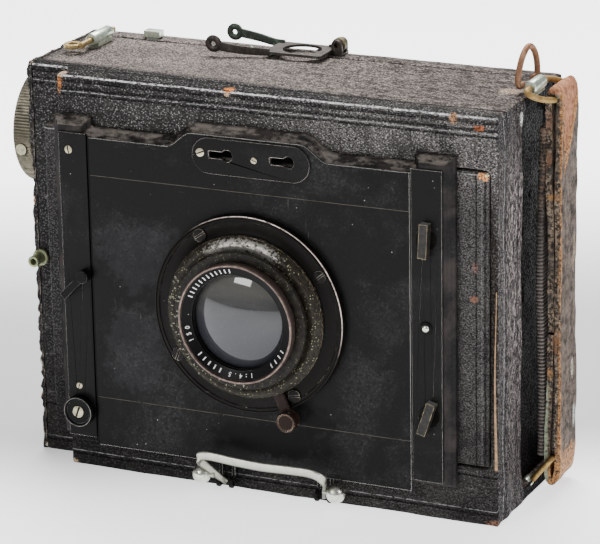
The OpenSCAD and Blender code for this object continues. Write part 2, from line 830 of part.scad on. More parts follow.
module rear_frame() {
  color("#1f1d1c") difference() {
    union() {
      span([-cheek_left, rear_y, 0], [body_right, back_y, 12]);
      span([-cheek_left, rear_y, 131], [body_right, back_y, body_h]);
      span([76.5, rear_y, 12], [recess_x, back_y, 131]);
      // rails in front of and behind the focusing back
      for (z = [11.9, 128.4]) span([-88, rear_y, z], [76.6, rear_y + 0.7, z + 2.7]);
      span([-88, rear_y + 4.3, 11.9], [76.6, rear_y + 5.2, 13.4]);
      span([-88, rear_y + 4.3, 130], [76.6, rear_y + 5.2, 131.1]);
    }
    span([recess_x, rear_y - 1, 5], [body_right + 1, 26, body_h - 5]);
    // slot of the catch
    span([-67.2, 23.6, 130.7], [-61.8, 26.4, body_h + 1]);
  }
}

module focus_back() {
  color("#2a2724") {
    difference() {
      span([-88, rear_y + 1, 12.4], [76, rear_y + 4, 130.6]);
      span([-60, rear_y, 22.5], [60, rear_y + 5, 112.5]);
      span([-64, rear_y + 2.4, 18.5], [64, rear_y + 5, 116.5]);
    }
    // hinge blocks and pins of the cover
    for (x = [-76, 58]) {
      span([x, rear_y + 3.9, door_hinge[1] - 1], [x + 6, door_hinge[0] + 0.9, door_hinge[1] + 1]);
      bar_x(door_hinge, 0.7, x + 5.8, x + 11);
    }
  }
}

module ground_glass() {
  color([0.8, 0.82, 0.8, 0.6]) span([-63.8, rear_y + 2.4, 18.7], [63.8, rear_y + 3.9, 116.3]);
}

door_low = 14;
door_back = back_y - 0.8;

module cover_door() {
  color("#211f1e") {
    difference() {
      span([-84, rear_y + 4.4, door_low], [74, door_back, door_hinge[1] - 2.4]);
      span([-78, rear_y + 4, door_low + 4], [68, door_back - 1.4, 120]);
    }
    for (x = [-69.6, 64.4]) difference() {
      union() {
        bar_x(door_hinge, 1.3, x, x + 4.6);
        span([x, door_hinge[0] - 0.2, door_hinge[1] - 3], [x + 4.6, door_back, door_hinge[1] - 0.9]);
      }
      bar_x(door_hinge, 0.7 + fit, x - 1, x + 6);
    }
  }
}

module door_catch() {
  color("#c8c4b0") {
    span([-9, door_back + 0.05, door_low + 2], [9, back_y - 0.1, door_low + 8]);
    span([-3, door_back + 0.05, 12.3], [3, back_y - 0.1, door_low + 2.1]);
    bar_y([0, door_low + 5], 2.2, back_y - 0.2, back_y);
  }
}

module back_catch() {
  color("#d4d2c2") {
    span([-66.8, 24.1, 130.8], [-62.2, 25.9, body_h + 1]);
    span([-67.6, 23.6, body_h + 0.3], [-61.4, 27.4, body_h + 2.6]);
  }
}

body_shell();
cheek_cover();
tripod_bush();
shutter_frame();
curtain();
roller_upper();
roller_lower();
winding_knob();
winder_gear();
knob_screw();
release_socket();
release_plunger();
front_board();
front_block();
rail_left();
rail_right();
front_screws();
lens_panel();
keyhole_plate();
panel_screws();
lens_flange();
latch_upper();
latch_lower();
lever_left();
lock_knob();
focus_ring();
lens_barrel();
aperture_ring();
front_rim();
lens_glass();
iris();
bellows();
link_left_a1();
link_left_b1();
link_left_b2();
link_left_a2();
link_right_a1();
link_right_b1();
link_right_b2();
link_right_a2();
root_brackets();
front_brackets();
bail();
bail_balls();
bail_lugs();
finder_base();
finder_fork();
strap_barrels();
lug_eyelet();
strap_ring();
handle_wires();
handle_strap();
handle_lining();
back_catch();
rear_frame();
focus_back();
ground_glass();
cover_door();
door_catch();
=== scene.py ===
"""Looks of the closed folding strut camera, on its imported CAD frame. Lengths are in millimetres
until a mesh is made; the scene is in metres."""

import json
import math

import bmesh
import bpy
import numpy as np
from mathutils import Matrix, Vector

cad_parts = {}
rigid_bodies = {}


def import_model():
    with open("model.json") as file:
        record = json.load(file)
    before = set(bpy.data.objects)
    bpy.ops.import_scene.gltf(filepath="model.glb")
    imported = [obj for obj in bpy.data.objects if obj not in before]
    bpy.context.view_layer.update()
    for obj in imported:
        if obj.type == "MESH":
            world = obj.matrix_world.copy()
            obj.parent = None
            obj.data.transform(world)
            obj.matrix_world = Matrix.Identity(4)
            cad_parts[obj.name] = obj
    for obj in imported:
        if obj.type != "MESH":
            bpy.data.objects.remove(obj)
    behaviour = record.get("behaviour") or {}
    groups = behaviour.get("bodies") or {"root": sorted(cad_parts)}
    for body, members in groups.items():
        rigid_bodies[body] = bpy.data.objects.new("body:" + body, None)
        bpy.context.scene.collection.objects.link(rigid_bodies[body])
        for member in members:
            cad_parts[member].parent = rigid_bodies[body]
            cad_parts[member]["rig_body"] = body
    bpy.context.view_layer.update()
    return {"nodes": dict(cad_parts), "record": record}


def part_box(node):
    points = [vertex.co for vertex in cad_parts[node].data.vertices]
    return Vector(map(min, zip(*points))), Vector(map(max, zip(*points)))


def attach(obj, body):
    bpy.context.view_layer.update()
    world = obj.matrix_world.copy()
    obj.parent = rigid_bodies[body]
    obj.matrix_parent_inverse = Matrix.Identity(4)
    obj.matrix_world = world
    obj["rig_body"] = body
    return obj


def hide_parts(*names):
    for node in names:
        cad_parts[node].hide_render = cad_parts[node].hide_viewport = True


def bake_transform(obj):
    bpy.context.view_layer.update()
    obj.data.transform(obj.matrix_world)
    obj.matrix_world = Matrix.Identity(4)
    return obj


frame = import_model()
nodes = frame["nodes"]
MM = 0.001
body_of = {n: b for b, members in frame["record"]["behaviour"]["bodies"].items() for n in members}
MERGE = 1e-6  # points closer than this, in metres, are one
CREASE = math.radians(35)
FORWARD = (0, -1, 0)


def mm_box(node):
    """Lowest and highest corner of a CAD node, in millimetres."""
    low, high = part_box(node)
    return low / MM, high / MM


# ---------------------------------------------------------------- shader helper


class Shade:
    """A procedural material. Positions are those at rest, in the part's frame, in millimetres."""

    def __init__(self, name):
        self.mat = bpy.data.materials.new(name)
        self.mat.use_nodes = True
        self.tree = self.mat.node_tree
        self.bsdf = self.tree.nodes["Principled BSDF"]
        coord = self.add("ShaderNodeTexCoord").outputs
        self.pos = self.scale(coord["Object"], 1 / MM)
        self.x, self.y, self.z = self.add("ShaderNodeSeparateXYZ", {0: self.pos}).outputs
        self.nx, self.ny, self.nz = self.add("ShaderNodeSeparateXYZ", {0: coord["Normal"]}).outputs
        self.relief = None

    def put(self, socket, value):
        """Links a socket to another one, or sets its value; a number is a grey."""
        if isinstance(value, bpy.types.NodeSocket):
            self.tree.links.new(value, socket)
        elif socket.type == "RGBA":
            socket.default_value = (*value, 1.0) if isinstance(value, tuple) else (value,) * 3 + (1.0,)
        else:
            socket.default_value = value

    def add(self, kind, inputs=None, **attributes):
        """A node of that kind with its inputs and attributes."""
        made = self.tree.nodes.new(kind)
        for key, value in attributes.items():
            setattr(made, key, value)
        for key, value in (inputs or {}).items():
            self.put(made.inputs[key], value)
        return made

    def calc(self, operation, *values):
        """The result of one math operation."""
        return self.add("ShaderNodeMath", dict(enumerate(values)), operation=operation).outputs[0]

    def scaled(self, value, factor, plus):
        """value * factor + plus"""
        return self.calc("MULTIPLY_ADD", value, factor, plus)

    def gap(self, a, b):
        """How far two values are apart."""
        return self.calc("ABSOLUTE", self.calc("SUBTRACT", a, b))

    def rest(self, share):
        """1 where share is 0, 0 where it is 1."""
        return self.calc("SUBTRACT", 1.0, share)

    def vector(self, operation, *values):
        """The node of one vector operation."""
        return self.add("ShaderNodeVectorMath", dict(enumerate(values)), operation=operation)

    def scale(self, vector, factor):
        """A vector or colour times a factor."""
        return self.add("ShaderNodeVectorMath", {0: vector, "Scale": factor}, operation="SCALE").outputs[0]

    def stretched(self, size, stretch):
        """The position, counted in features of that size."""
        scale = [1 / (size * s) for s in stretch]
        return self.vector("MULTIPLY", self.pos, scale).outputs[0]

    def noise(self, size, detail=4.0, rough=0.55, stretch=(1, 1, 1), warp=0.0):
        """Noise from 0 to 1 with features of about that size."""
        inputs = {"Vector": self.stretched(size, stretch), "Scale": 1.0}
        inputs |= {"Detail": detail, "Roughness": rough, "Distortion": warp}
        return self.add("ShaderNodeTexNoise", inputs).outputs[0]

    def blots(self, low, high, *noise, to=(0.0, 1.0)):
        """Patches: a smooth step of noise from low to high."""
        return self.step(self.noise(*noise), low, high, to)

    def cells(self, size, stretch=(1, 1, 1), warp=0.0):
        """Cells of about that size: the distance to the nearest cell's middle."""
        place = self.stretched(size, stretch)
        if warp:
            inputs = {"Vector": place, "Scale": 0.8, "Detail": 2.0}
            push = self.add("ShaderNodeTexNoise", inputs).outputs[1]
            place = self.vector("MULTIPLY_ADD", push, (warp,) * 3, place).outputs[0]
        inputs = {"Vector": place, "Scale": 1.0}
        return self.add("ShaderNodeTexVoronoi", inputs, feature="F1").outputs["Distance"]

    def step(self, value, low, high, to=(0.0, 1.0)):
        """Smooth step of value from low to high."""
        inputs = {"Value": value, 1: low, 2: high, 3: to[0], 4: to[1]}
        return self.add("ShaderNodeMapRange", inputs, interpolation_type="SMOOTHSTEP").outputs[0]

    def mix(self, share, a, b):
        """Colour a where share is 0, b where it is 1."""
        made = self.add("ShaderNodeMix", data_type="RGBA")
        for key, value in ((0, share), (6, a), (7, b)):
            self.put(made.inputs[key], value)
        return made.outputs[2]

    def paint(self, share, tint):
        """Lays a colour over the surface's colour."""
        self.color = self.mix(share, self.color, tint)

    def both(self, *shares):
        """The product of shares."""
        made = shares[0]
        for s in shares[1:]:
            made = self.calc("MULTIPLY", made, s)
        return made

    def either(self, *shares):
        """The largest of shares."""
        made = shares[0]
        for s in shares[1:]:
            made = self.calc("MAXIMUM", made, s)
        return made

    def spot(self, at, radius, ragged=1.3, stretch=(1, 1, 1)):
        """1 in a ragged spot round a point, 0 outside."""
        away = self.vector("SUBTRACT", self.pos, at).outputs[0]
        away = self.vector("MULTIPLY", away, [1 / s for s in stretch]).outputs[0]
        reach = self.vector("LENGTH", away).outputs["Value"]
        frayed = self.noise(max(0.5, radius * 0.4), 6.0, 0.75)
        reach = self.scaled(frayed, radius * ragged * 2, reach)
        return self.step(reach, radius * (1 + ragged * 1.05), radius * (1 + ragged * 0.8))

    def line(self, coord, at, width, wobble=0.25):
        """1 on a line where coord is near at."""
        wander = self.noise(14.0, 2.0)
        off = self.scaled(wander, wobble * 2, self.calc("SUBTRACT", coord, at))
        return self.step(self.gap(off, wobble), width * 0.5, width * 0.2)

    def edges(self, radius=0.35, low=0.02, high=0.2):
        """1 on edges sharper than the radius, in millimetres."""
        rounded = self.add("ShaderNodeBevel", {"Radius": radius * MM}, samples=4)
        flat = self.add("ShaderNodeNewGeometry").outputs["Normal"]
        same = self.vector("DOT_PRODUCT", rounded.outputs[0], flat).outputs["Value"]
        return self.step(self.rest(same), low, high)

    def raise_by(self, height, depth):
        """Adds relief: height from 0 to 1 stands for a depth in millimetres."""
        inputs = {"Height": height, "Distance": depth * MM, "Strength": 1.0}
        if self.relief is not None:
            inputs["Normal"] = self.relief
        self.relief = self.add("ShaderNodeBump", inputs).outputs[0]

    def finish(self, rough, metal=0.0, specular=0.5, **extra):
        """Links the surface's inputs and returns the material."""
        inputs = {"Base_Color": self.color, "Roughness": rough, "Metallic": metal,
            "Specular_IOR_Level": specular}
        for key, value in (inputs | extra).items():
            self.put(self.bsdf.inputs[key.replace("_", " ")], value)
        if self.relief is not None:
            self.put(self.bsdf.inputs["Normal"], self.relief)
        return self.mat


# ---------------------------------------------------------------- materials

ORANGE = (0.36, 0.13, 0.035)
WELT_RIB = 1.3
RAW = (0.44, 0.27, 0.11)


def leather(name, grain=0.84, depth=0.28, lines=(), bright=(), spots=(), dust=0.5, shine=1.0,
        black_band=None):
    """Pebbled black leather: black valleys, grey worn pebble tops, painted lighter, with painted
    glints, where light from above falls on the front. lines and bright are (coordinate, place,
    width, facing) of embossed lines, bright ones with a strength; the bright ones are painted
    highlights along ridges. spots are (centre, radius, colour, stretch) of worn-through leather.
    dust sets the top's colour of dust and painted sheen, the flank's pale streaks of wear and
    painted light, and the painted shade on the flank behind its front. shine sets the painted
    glints and the scuffs. In front of y = black_band, which slants a little with x, the top
    stays black."""
    s = Shade(name)
    pebble = s.cells(grain, (1, 1, 0.9), 0.35)
    dots = s.step(pebble, 0.36, 0.12)
    domes = s.step(pebble, 0.72, 0.12)
    fine = s.noise(0.35, 3.0)
    large = s.noise(24.0, 4.0, 0.6)
    rubbed = s.noise(8.0, 5.0, 0.65)
    up = s.step(s.nz, 0.55, 0.85)
    # painted shade: right-facing leather behind y = -3.5, in the channel and behind the handle
    painted_flank_shade = s.both(s.step(s.nx, 0.5, 0.8), s.step(s.y, -7.5, -3.5), 0.93, dust)
    s.color = s.mix(s.step(large, 0.35, 0.7), (0.0085, 0.008, 0.0078), (0.015, 0.0143, 0.0135))
    share = s.step(s.scaled(large, 0.5, s.both(rubbed, 0.6)), 0.4, 0.64, (0.25, 1.0))
    share = s.both(share, s.step(s.x, -60.0, 60.0, (0.72, 1.0)), s.rest(painted_flank_shade))
    # painted light: the front's upper strip and, weaker, its lower right corner, where light from above
    # falls; flecks and pebble tops are painted lighter there
    painted_light_band = s.either(s.step(s.z, 104.0, 126.0, (0.1, 1.0)),
        s.both(s.step(s.x, 58.0, 72.0, (0.0, 0.32)), s.step(s.z, 2.0, 30.0)))
    painted_light_band = s.both(painted_light_band, s.step(s.x, -80.0, 70.0, (0.55, 1.0)))
    fleck = s.both(s.blots(0.44, 0.62, 0.42, 5.0, 0.8, (1.6, 1, 1)), share, s.scaled(painted_light_band, 0.86, 0.12))
    fleck = s.both(fleck, s.step(s.x, -35.0, 50.0, (0.55, 1.0)), s.scaled(up, -0.7, 1.0))
    s.paint(fleck, (0.205, 0.19, 0.179))
    s.paint(s.both(domes, share, s.scaled(painted_light_band, 0.38, 0.03)), (0.092, 0.087, 0.083))
    # painted glints on pebble tops
    painted_glint = s.both(share, painted_light_band, s.blots(0.38, 0.56, 1.5, 3.0, 0.7))
    s.paint(s.both(dots, painted_glint, s.step(s.x, 50.0, -20.0, (0.55, 1.0)), shine), (0.6, 0.585, 0.57))
    scuffs = s.both(s.blots(0.57, 0.68, 2.2, 6.0, 0.75, (3.2, 1, 1), 0.8), s.step(rubbed, 0.45, 0.62),
        s.rest(painted_flank_shade))
    s.paint(s.both(scuffs, 0.35 * shine), (0.26, 0.24, 0.225))
    # the top is painted brown-grey, partly dust and rubbing and partly a painted sheen of light from above,
    # in lit and dim patches; the flank's front is painted pale in upright streaks, partly rubbing and partly
    # painted light from the right
    top_dust_and_sheen = s.both(up, s.step(s.x, -89.0, -81.0, (0.2, 1.0)), dust)
    if black_band is not None:
        inward = s.scaled(s.x, 0.056, s.y)
        top_dust_and_sheen = s.both(top_dust_and_sheen, s.step(inward, black_band, black_band + 5.0))
    small = s.cells(0.55, (1.35, 1, 1), 0.5)
    top_grain = s.step(small, 0.66, 0.12)
    shaded = s.both(s.blots(0.38, 0.64, 15.0, 5.0, 0.62, (1.8, 1, 1)), 0.75)
    shaded = s.either(shaded,
        s.both(s.step(s.x, 0.0, 62.0),
            s.blots(0.3, 0.55, 7.0, 5.0, 0.65, (2.2, 1, 1), to=(0.55, 0.95))))
    lit = s.mix(top_grain, (0.09, 0.076, 0.068), (0.5, 0.43, 0.39))
    dim = s.mix(top_grain, (0.06, 0.05, 0.045), (0.32, 0.27, 0.245))
    top_color = s.mix(shaded, lit, dim)
    scratch = s.blots(0.6, 0.68, 1.3, 4.0, 0.65, (9, 1, 1), 1.4)
    top_color = s.mix(s.both(scratch, 0.6), top_color, (0.5, 0.44, 0.4))
    crack = s.both(s.blots(0.53, 0.44, 1.6, 5.0, 0.75, (2.6, 1, 1), 1.2),
        s.step(s.x, -40.0, 40.0, (0.4, 0.95)))
    top_color = s.mix(crack, top_color, (0.026, 0.021, 0.019))
    s.paint(top_dust_and_sheen, top_color)
    # painted shade on the flank behind the handle
    s.paint(painted_flank_shade, (0.0042, 0.0038, 0.0035))
    # painted light and wear: the flank in front of y = -8 is painted pale in upright streaks, lighter round y
    # = -13 and darker towards the top and bottom
    side = s.both(s.step(s.nx, 0.5, 0.8), s.step(s.y, -3.5, -8.0), dust)
    streak = s.both(s.blots(0.49, 0.6, 0.9, 6.0, 0.8, (1, 1, 2.8), 0.6),
        s.step(s.z, 142.0, 112.0, (0.12, 1.0)), s.step(s.z, 12.0, 75.0, (0.3, 1.0)))
    middle = s.step(s.gap(s.y, -13.0), 12.0, 4.0, (0.35, 1.0))
    flank_wear_and_light = s.mix(s.both(streak, middle), (0.01, 0.008, 0.0085), (0.43, 0.365, 0.345))
    flank_wear_and_light = s.mix(s.both(dots, s.step(rubbed, 0.4, 0.6), 0.6), flank_wear_and_light, (0.34, 0.31, 0.3))
    s.paint(s.both(side, 0.92), flank_wear_and_light)
    worn = s.both(s.edges(0.7, 0.05, 0.3), s.blots(0.42, 0.58, 3.0, 5.0, 0.7))
    s.paint(s.both(worn, 0.85), (0.3, 0.25, 0.21))
    rough = s.mix(s.step(rubbed, 0.3, 0.75), 0.34, 0.52)
    rough = s.mix(s.both(up, 0.6), rough, 0.68)
    open_up = s.rest(s.either(painted_flank_shade, s.both(up, 0.7)))
    gloss = s.both(s.scaled(s.step(pebble, 0.55, 0.12), 0.45, 0.04), open_up,
        s.step(s.z, 8.0, 70.0, (0.3, 1.0)))

    s.raise_by(pebble, -depth)
    s.raise_by(fine, 0.05)
    creases = s.noise(7.0, 3.0, 0.6, (2.6, 1, 1), 0.6)
    s.raise_by(s.gap(creases, 0.5), -0.5)
    marks = [s.both(s.line(getattr(s, axis), at, width), s.step(facing(s), 0.5, 0.8))
        for axis, at, width, facing in lines]
    if marks:
        pressed = s.either(*marks)
        s.paint(s.both(pressed, 0.8), (0.006, 0.0055, 0.0055))
        s.raise_by(pressed, -0.4)
    marks = [s.both(s.line(getattr(s, axis), at, width, 0.18), s.step(facing(s), 0.35, 0.7), strong)
        for axis, at, width, facing, strong in bright]
    if marks:
        # painted highlights along the ridges of the embossed edges
        ridge = s.either(*marks)
        painted_ridge_highlight = s.both(ridge, s.blots(0.4, 0.58, 0.8, 5.0, 0.78, (2.2, 1, 1)))
        s.paint(painted_ridge_highlight, (0.84, 0.83, 0.82))
        rough = s.mix(painted_ridge_highlight, rough, 0.3)
        s.raise_by(ridge, 0.2)
    fray = s.blots(0.4, 0.6, 0.8, 6.0, 0.8, to=(0.12, 1.5))
    for at, radius, shade, stretch in spots:
        s.paint(s.spot(at, radius * 0.85, stretch=stretch), s.scale(shade, fray))
    return s.finish(rough, specular=gloss)


def toward(axis, sign=1.0):
    """Gives for a material how far its surface faces along an axis."""
    return lambda s: getattr(s, axis) if sign == 1.0 else s.both(getattr(s, axis), sign)


front, back = toward("ny", -1.0), toward("ny")
left, right = toward("nx", -1.0), toward("nx")
top = toward("nz")
lip = mm_box("body_shell")[0].y


def lacquer(name, tint=(0.0058, 0.0058, 0.0056), worn=(0.36, 0.33, 0.28), edge=0.3, dusty=0.5,
        brown=0.0, scribed=(), rubbed=(0.34, 0.54), smear=False, gap=None):
    """Satin black enamel, rubbed to metal on its edges, with dust and fine scratches."""
    s = Shade(name)
    cloud = s.noise(24.0, 5.0, 0.62, warp=0.4)
    film = s.both(s.step(cloud, 0.45, 0.7), s.blots(0.25, 0.75, 1.1, 5.0, 0.75), dusty)
    s.color = s.mix(film, tint, 0.031)
    grit = s.both(s.blots(0.56, 0.72, 0.55, 3.0, 0.7), s.step(cloud, 0.35, 0.65, (0.15, 1.0)), dusty)
    s.paint(s.both(grit, 0.45), (0.085, 0.083, 0.08))
    hair = s.noise(1.1, 2.0, 0.5, (1, 1, 16), 0.7)
    slant = s.noise(1.3, 2.0, 0.5, (22, 1, 1), 0.9)
    marks = s.either(s.step(hair, 0.72, 0.77), s.step(slant, 0.72, 0.78))
    marks = s.both(marks, s.blots(0.46, 0.66, 13.0, 3.0))
    s.paint(s.both(marks, 0.3), (0.22, 0.21, 0.2))
    chip = s.both(s.step(s.cells(3.7), 0.07, 0.03), s.blots(0.52, 0.6, 9.0))
    s.paint(chip, (0.36, 0.35, 0.33))
    if brown:
        rust = s.both(s.blots(0.4, 0.66, 9.0, 5.0, 0.6), brown)
        s.paint(rust, (0.038, 0.031, 0.029))
        # painted highlight: paler patches on upward faces, where light from above falls on the top bevels
        pale = s.both(s.blots(0.42, 0.6, 4.0, 5.0, 0.7, (2, 1, 1)), s.step(s.nz, 0.15, 0.6))
        s.paint(s.both(pale, 0.5), (0.27, 0.235, 0.205))
    if smear:
        # darker patches on the panel below the lens and above the bail
        dark_patches_below_lens = s.either(s.spot((6, lip, 22), 15, 0.9, (1.7, 1, 0.45)),
            s.spot((24, lip, 30), 9, 0.9, (1, 1, 1)))
        s.paint(s.both(dark_patches_below_lens, 0.9), (0.0035, 0.0034, 0.0033))
        haze = s.either(s.spot((-40, lip, 82), 16, 1.0, (1.2, 1, 0.9)),
            s.spot((-44, lip, 48), 15, 1.0, (0.9, 1, 1.2)))
        s.paint(s.both(haze, s.noise(2.2, 5.0, 0.7), 0.45), (0.036, 0.037, 0.04))
    for height in scribed:
        cut = s.both(s.line(s.z, height, 0.36, 0.05), s.blots(0.25, 0.55, 5.0, 3.0))
        s.paint(s.both(cut, 0.42), (0.16, 0.135, 0.11))
        s.raise_by(cut, -0.1)
    bare = s.both(s.edges(edge, 0.03, 0.22), s.blots(*rubbed, 4.0, 4.0, 0.7))
    s.paint(bare, worn)
    if gap is not None:
        # the dark joint beside the left rail, at x = gap
        joint = s.step(s.gap(s.x, gap), 0.75, 0.55)
        s.paint(joint, 0.0012)
        bare = s.both(bare, s.rest(joint))
    rough = s.mix(s.step(cloud, 0.35, 0.7), 0.3, 0.52)
    rough = s.mix(bare, rough, 0.34)
    s.raise_by(s.noise(0.5, 3.0), 0.012)
    s.raise_by(s.noise(14.0, 2.0), 0.12)
    # painted shade: left-facing faces get almost no specular, so they read darker
    away = s.step(s.both(s.nx, -1.0), 0.25, 0.6, (0.06, 0.015))
    return s.finish(rough, s.both(bare, 0.9), specular=away)


def latch_look():
    """Rubbed enamel over brass: caps painted pale grey on their upward facets as a painted highlight, brassy
    right edges, black elsewhere.
    """
    s = Shade("latch_look")
    s.color = s.mix(s.blots(0.3, 0.7, 1.6, 4.0, 0.7), (0.006, 0.0055, 0.005), (0.024, 0.022, 0.018))
    # painted highlight on the caps' upward facets, made metallic there
    cap_highlight = s.both(s.step(s.nz, 0.35, 0.7), s.blots(0.28, 0.5, 1.0, 4.0, 0.7))
    bare = s.both(s.edges(0.3, 0.06, 0.25), s.blots(0.38, 0.54, 1.5, 4.0, 0.7))
    s.paint(bare, (0.58, 0.47, 0.27))
    s.paint(cap_highlight, (0.5, 0.5, 0.48))
    s.raise_by(s.noise(0.5, 3.0), 0.02)
    return s.finish(0.4, s.both(s.either(cap_highlight, bare), 0.9), specular=0.2)


def metal(name, tint, dark, rough=0.32, age=0.5, verdigris=0.0, grain=(1, 1, 1), edge=0.25,
        edge_tint=None, pitted=0.5, rough_by=0.03):
    """Bare metal with tarnish, stains and brighter edges."""
    s = Shade(name)
    stain = s.blots(0.5 - age * 0.35, 0.78, 2.6, 6.0, 0.68)
    pits = s.step(s.cells(0.8), 0.22, 0.1)
    s.color = s.mix(stain, tint, dark)
    s.paint(s.both(pits, pitted), tuple(c * 0.35 for c in dark))
    bright = s.both(s.edges(edge, 0.03, 0.25), s.blots(0.32, 0.55, 3.0))
    s.paint(s.both(bright, 0.8), edge_tint or tuple(min(1.0, c * 1.5) for c in tint))
    gloss = s.mix(stain, rough, min(1.0, rough + 0.3))
    shine = s.scaled(stain, -0.25, 1.0)
    if verdigris:
        crust = s.both(s.blots(0.62 - verdigris * 0.4, 0.72, 1.9, 6.0, 0.7), 0.92)
        s.paint(crust, s.mix(s.noise(0.7), (0.1, 0.22, 0.15), (0.36, 0.5, 0.38)))
        gloss = s.mix(crust, gloss, 0.85)
        shine = s.both(shine, s.rest(crust))
        s.raise_by(crust, 0.12)
    s.raise_by(s.noise(0.55, 4.0, 0.6, grain), rough_by)
    s.raise_by(s.both(pits, pitted), -0.08)
    return s.finish(gloss, shine)


def bail_metal():
    """Nickelled strap: painted light on its upper side and painted shade underneath, with greenish tarnish
    stains.
    """
    s = Shade("bail_metal")
    stain = s.blots(0.4, 0.75, 2.6, 6.0, 0.68)
    # painted light and shade: pale where the strap faces up, near-black where it faces down
    s.color = s.mix(s.step(s.nz, -0.6, 0.45), (0.09, 0.092, 0.07), (0.76, 0.745, 0.64))
    s.paint(s.both(stain, 0.4), (0.26, 0.29, 0.23))
    s.raise_by(s.noise(0.9, 3.0), 0.01)
    return s.finish(0.34, 0.75)


def wood(name, tint=(0.02, 0.014, 0.01)):
    """Grained wood, bare on its edges."""
    s = Shade(name)
    ring = s.noise(1.5, 5.0, 0.65, (14, 1, 1), 0.4)
    s.color = s.mix(s.step(ring, 0.3, 0.7), tint, tuple(c * 2.6 for c in tint))
    bare = s.both(s.edges(0.5, 0.03, 0.2), s.blots(0.45, 0.6, 5.0))
    s.paint(bare, RAW)
    s.raise_by(ring, 0.12)
    return s.finish(0.55)


def cloth(name):
    """Matt black bellows cloth with a fine weave and rubbed folds."""
    s = Shade(name)
    warp = s.calc("SINE", s.both(s.z, 9.0))
    weft = s.calc("SINE", s.both(s.calc("ADD", s.x, s.y), 9.0))
    weave = s.scaled(s.both(warp, weft), 0.5, 0.5)
    s.color = s.mix(s.noise(11.0, 5.0), 0.008, (0.024, 0.023, 0.022))
    rubbed = s.both(s.edges(0.6, 0.03, 0.3), s.blots(0.4, 0.6, 4.0))
    s.paint(rubbed, (0.07, 0.065, 0.06))
    s.raise_by(weave, 0.05)
    return s.finish(0.8)


def clear_glass(name):
    """Lens glass with a faint haze."""
    s = Shade(name)
    haze = s.blots(0.45, 0.8, 3.5, 5.0, 0.6)
    s.color = s.mix(haze, (0.9, 0.93, 0.92), (0.74, 0.76, 0.74))
    return s.finish(0.0, 0.0, Transmission_Weight=1.0, IOR=1.5)


def ground(name):
    """Matt glass of the focusing screen."""
    s = Shade(name)
    s.color = s.mix(s.noise(9.0, 4.0), (0.56, 0.6, 0.58), (0.7, 0.74, 0.72))
    s.raise_by(s.noise(0.2, 2.0), 0.02)
    return s.finish(0.55, 0.0, Transmission_Weight=0.55)


WHITE = (0.62, 0.56, 0.46)
shell_spots = [
    ((-74.4, -30.0, 140.4), 2.5, ORANGE, (1.0, 1.2, 2.2)),
    ((-73.6, -28.6, 143.0), 2.2, (0.56, 0.4, 0.27), (1.5, 1.3, 1)),
    ((-9.5, -29.0, 143), 1.9, (0.55, 0.19, 0.05), (1.2, 1.5, 0.8)),
    ((-9.8, -30.3, 141.2), 0.9, (0.65, 0.45, 0.28), (1.4, 1, 1)),
    ((71.5, -30.0, 141.4), 1.8, (0.3, 0.17, 0.09), (1.0, 1, 1.4)),
    ((80.5, -30.0, 138.6), 1.5, (0.26, 0.08, 0.035), (1.6, 1, 0.9)),
    ((85.5, -29.5, 0.8), 2.4, (0.15, 0.075, 0.05), (1.4, 1.4, 0.8)),
    ((-73.5, -29.5, 1.0), 1.5, (0.33, 0.24, 0.16), (1.5, 1, 0.8)),
    ((87.0, -7.8, 136.5), 1.6, (0.55, 0.58, 0.53), (1, 1, 1.8)),
    ((85.3, -30, 72), 2.1, (0.016, 0.012, 0.01), (1, 1.5, 24)),
    ((79, 2, 143), 3.2, (0.36, 0.27, 0.2), (1.6, 1.3, 1)),
]
cheek_spots = [
    ((-80.8, -21, 142.4), 2.6, (0.6, 0.44, 0.3), (1.3, 1.3, 1.0)),
    ((-80.4, -21, 137.6), 1.8, ORANGE, (0.8, 1, 2.2)),
    ((-88.0, -19, 142.6), 1.4, (0.4, 0.27, 0.18), (1.6, 1, 0.7)),
    ((-80.0, 10, 142.8), 4.2, (0.33, 0.24, 0.17), (1.4, 2.2, 1)),
    ((-88.5, -20, 1.6), 1.4, WHITE, (1.4, 1, 0.8)),
    ((-91, -20.4, 21), 1.2, (0.36, 0.24, 0.15), (1, 1, 1.8)),
    ((-91, -20.4, 32), 1.3, WHITE, (1, 1, 1.6)),
    ((-91, -20.4, 93), 1.4, (0.5, 0.3, 0.2), (1, 1, 2.0)),
    ((-91, -20.4, 103), 1.1, WHITE, (1, 1, 1.2)),
]
shell_lines = [("z", 140.7, 1.5, front), ("z", 138.1, 1.2, front), ("z", 135.9, 0.9, front),
    ("z", 4.2, 0.9, front), ("z", 17.6, 0.8, front), ("y", -22.6, 1.6, top), ("y", 22.0, 1.2, top),
    ("y", -22.5, 0.9, right), ("y", -12.0, 0.9, right)]
cheek_lines = [("x", -78.5, 0.9, front), ("x", -86.0, 0.9, top), ("z", 139.0, 0.9, left),
    ("z", 4.0, 0.9, left)]
# painted highlights along the rounded front edges and the flank's front corner
shell_highlight_lines = [("z", 142.2, 0.8, front, 1.0), ("z", 136.9, 0.5, front, 0.24),
    ("z", 5.4, 0.5, front, 0.22), ("y", -24.2, 0.6, right, 0.4)]
cheek_highlight_lines = [("z", 142.2, 0.6, front, 0.3), ("z", 5.4, 0.5, front, 0.2)]
shell_leather = leather("shell_leather", lines=shell_lines, bright=shell_highlight_lines, spots=shell_spots,
    dust=0.95, black_band=-22.0)
cheek_leather = leather("cheek_leather", lines=cheek_lines, bright=cheek_highlight_lines, spots=cheek_spots,
    dust=0.8, black_band=-21.0)
rear_leather = leather("rear_leather", lines=shell_lines[6:7], dust=0.95)
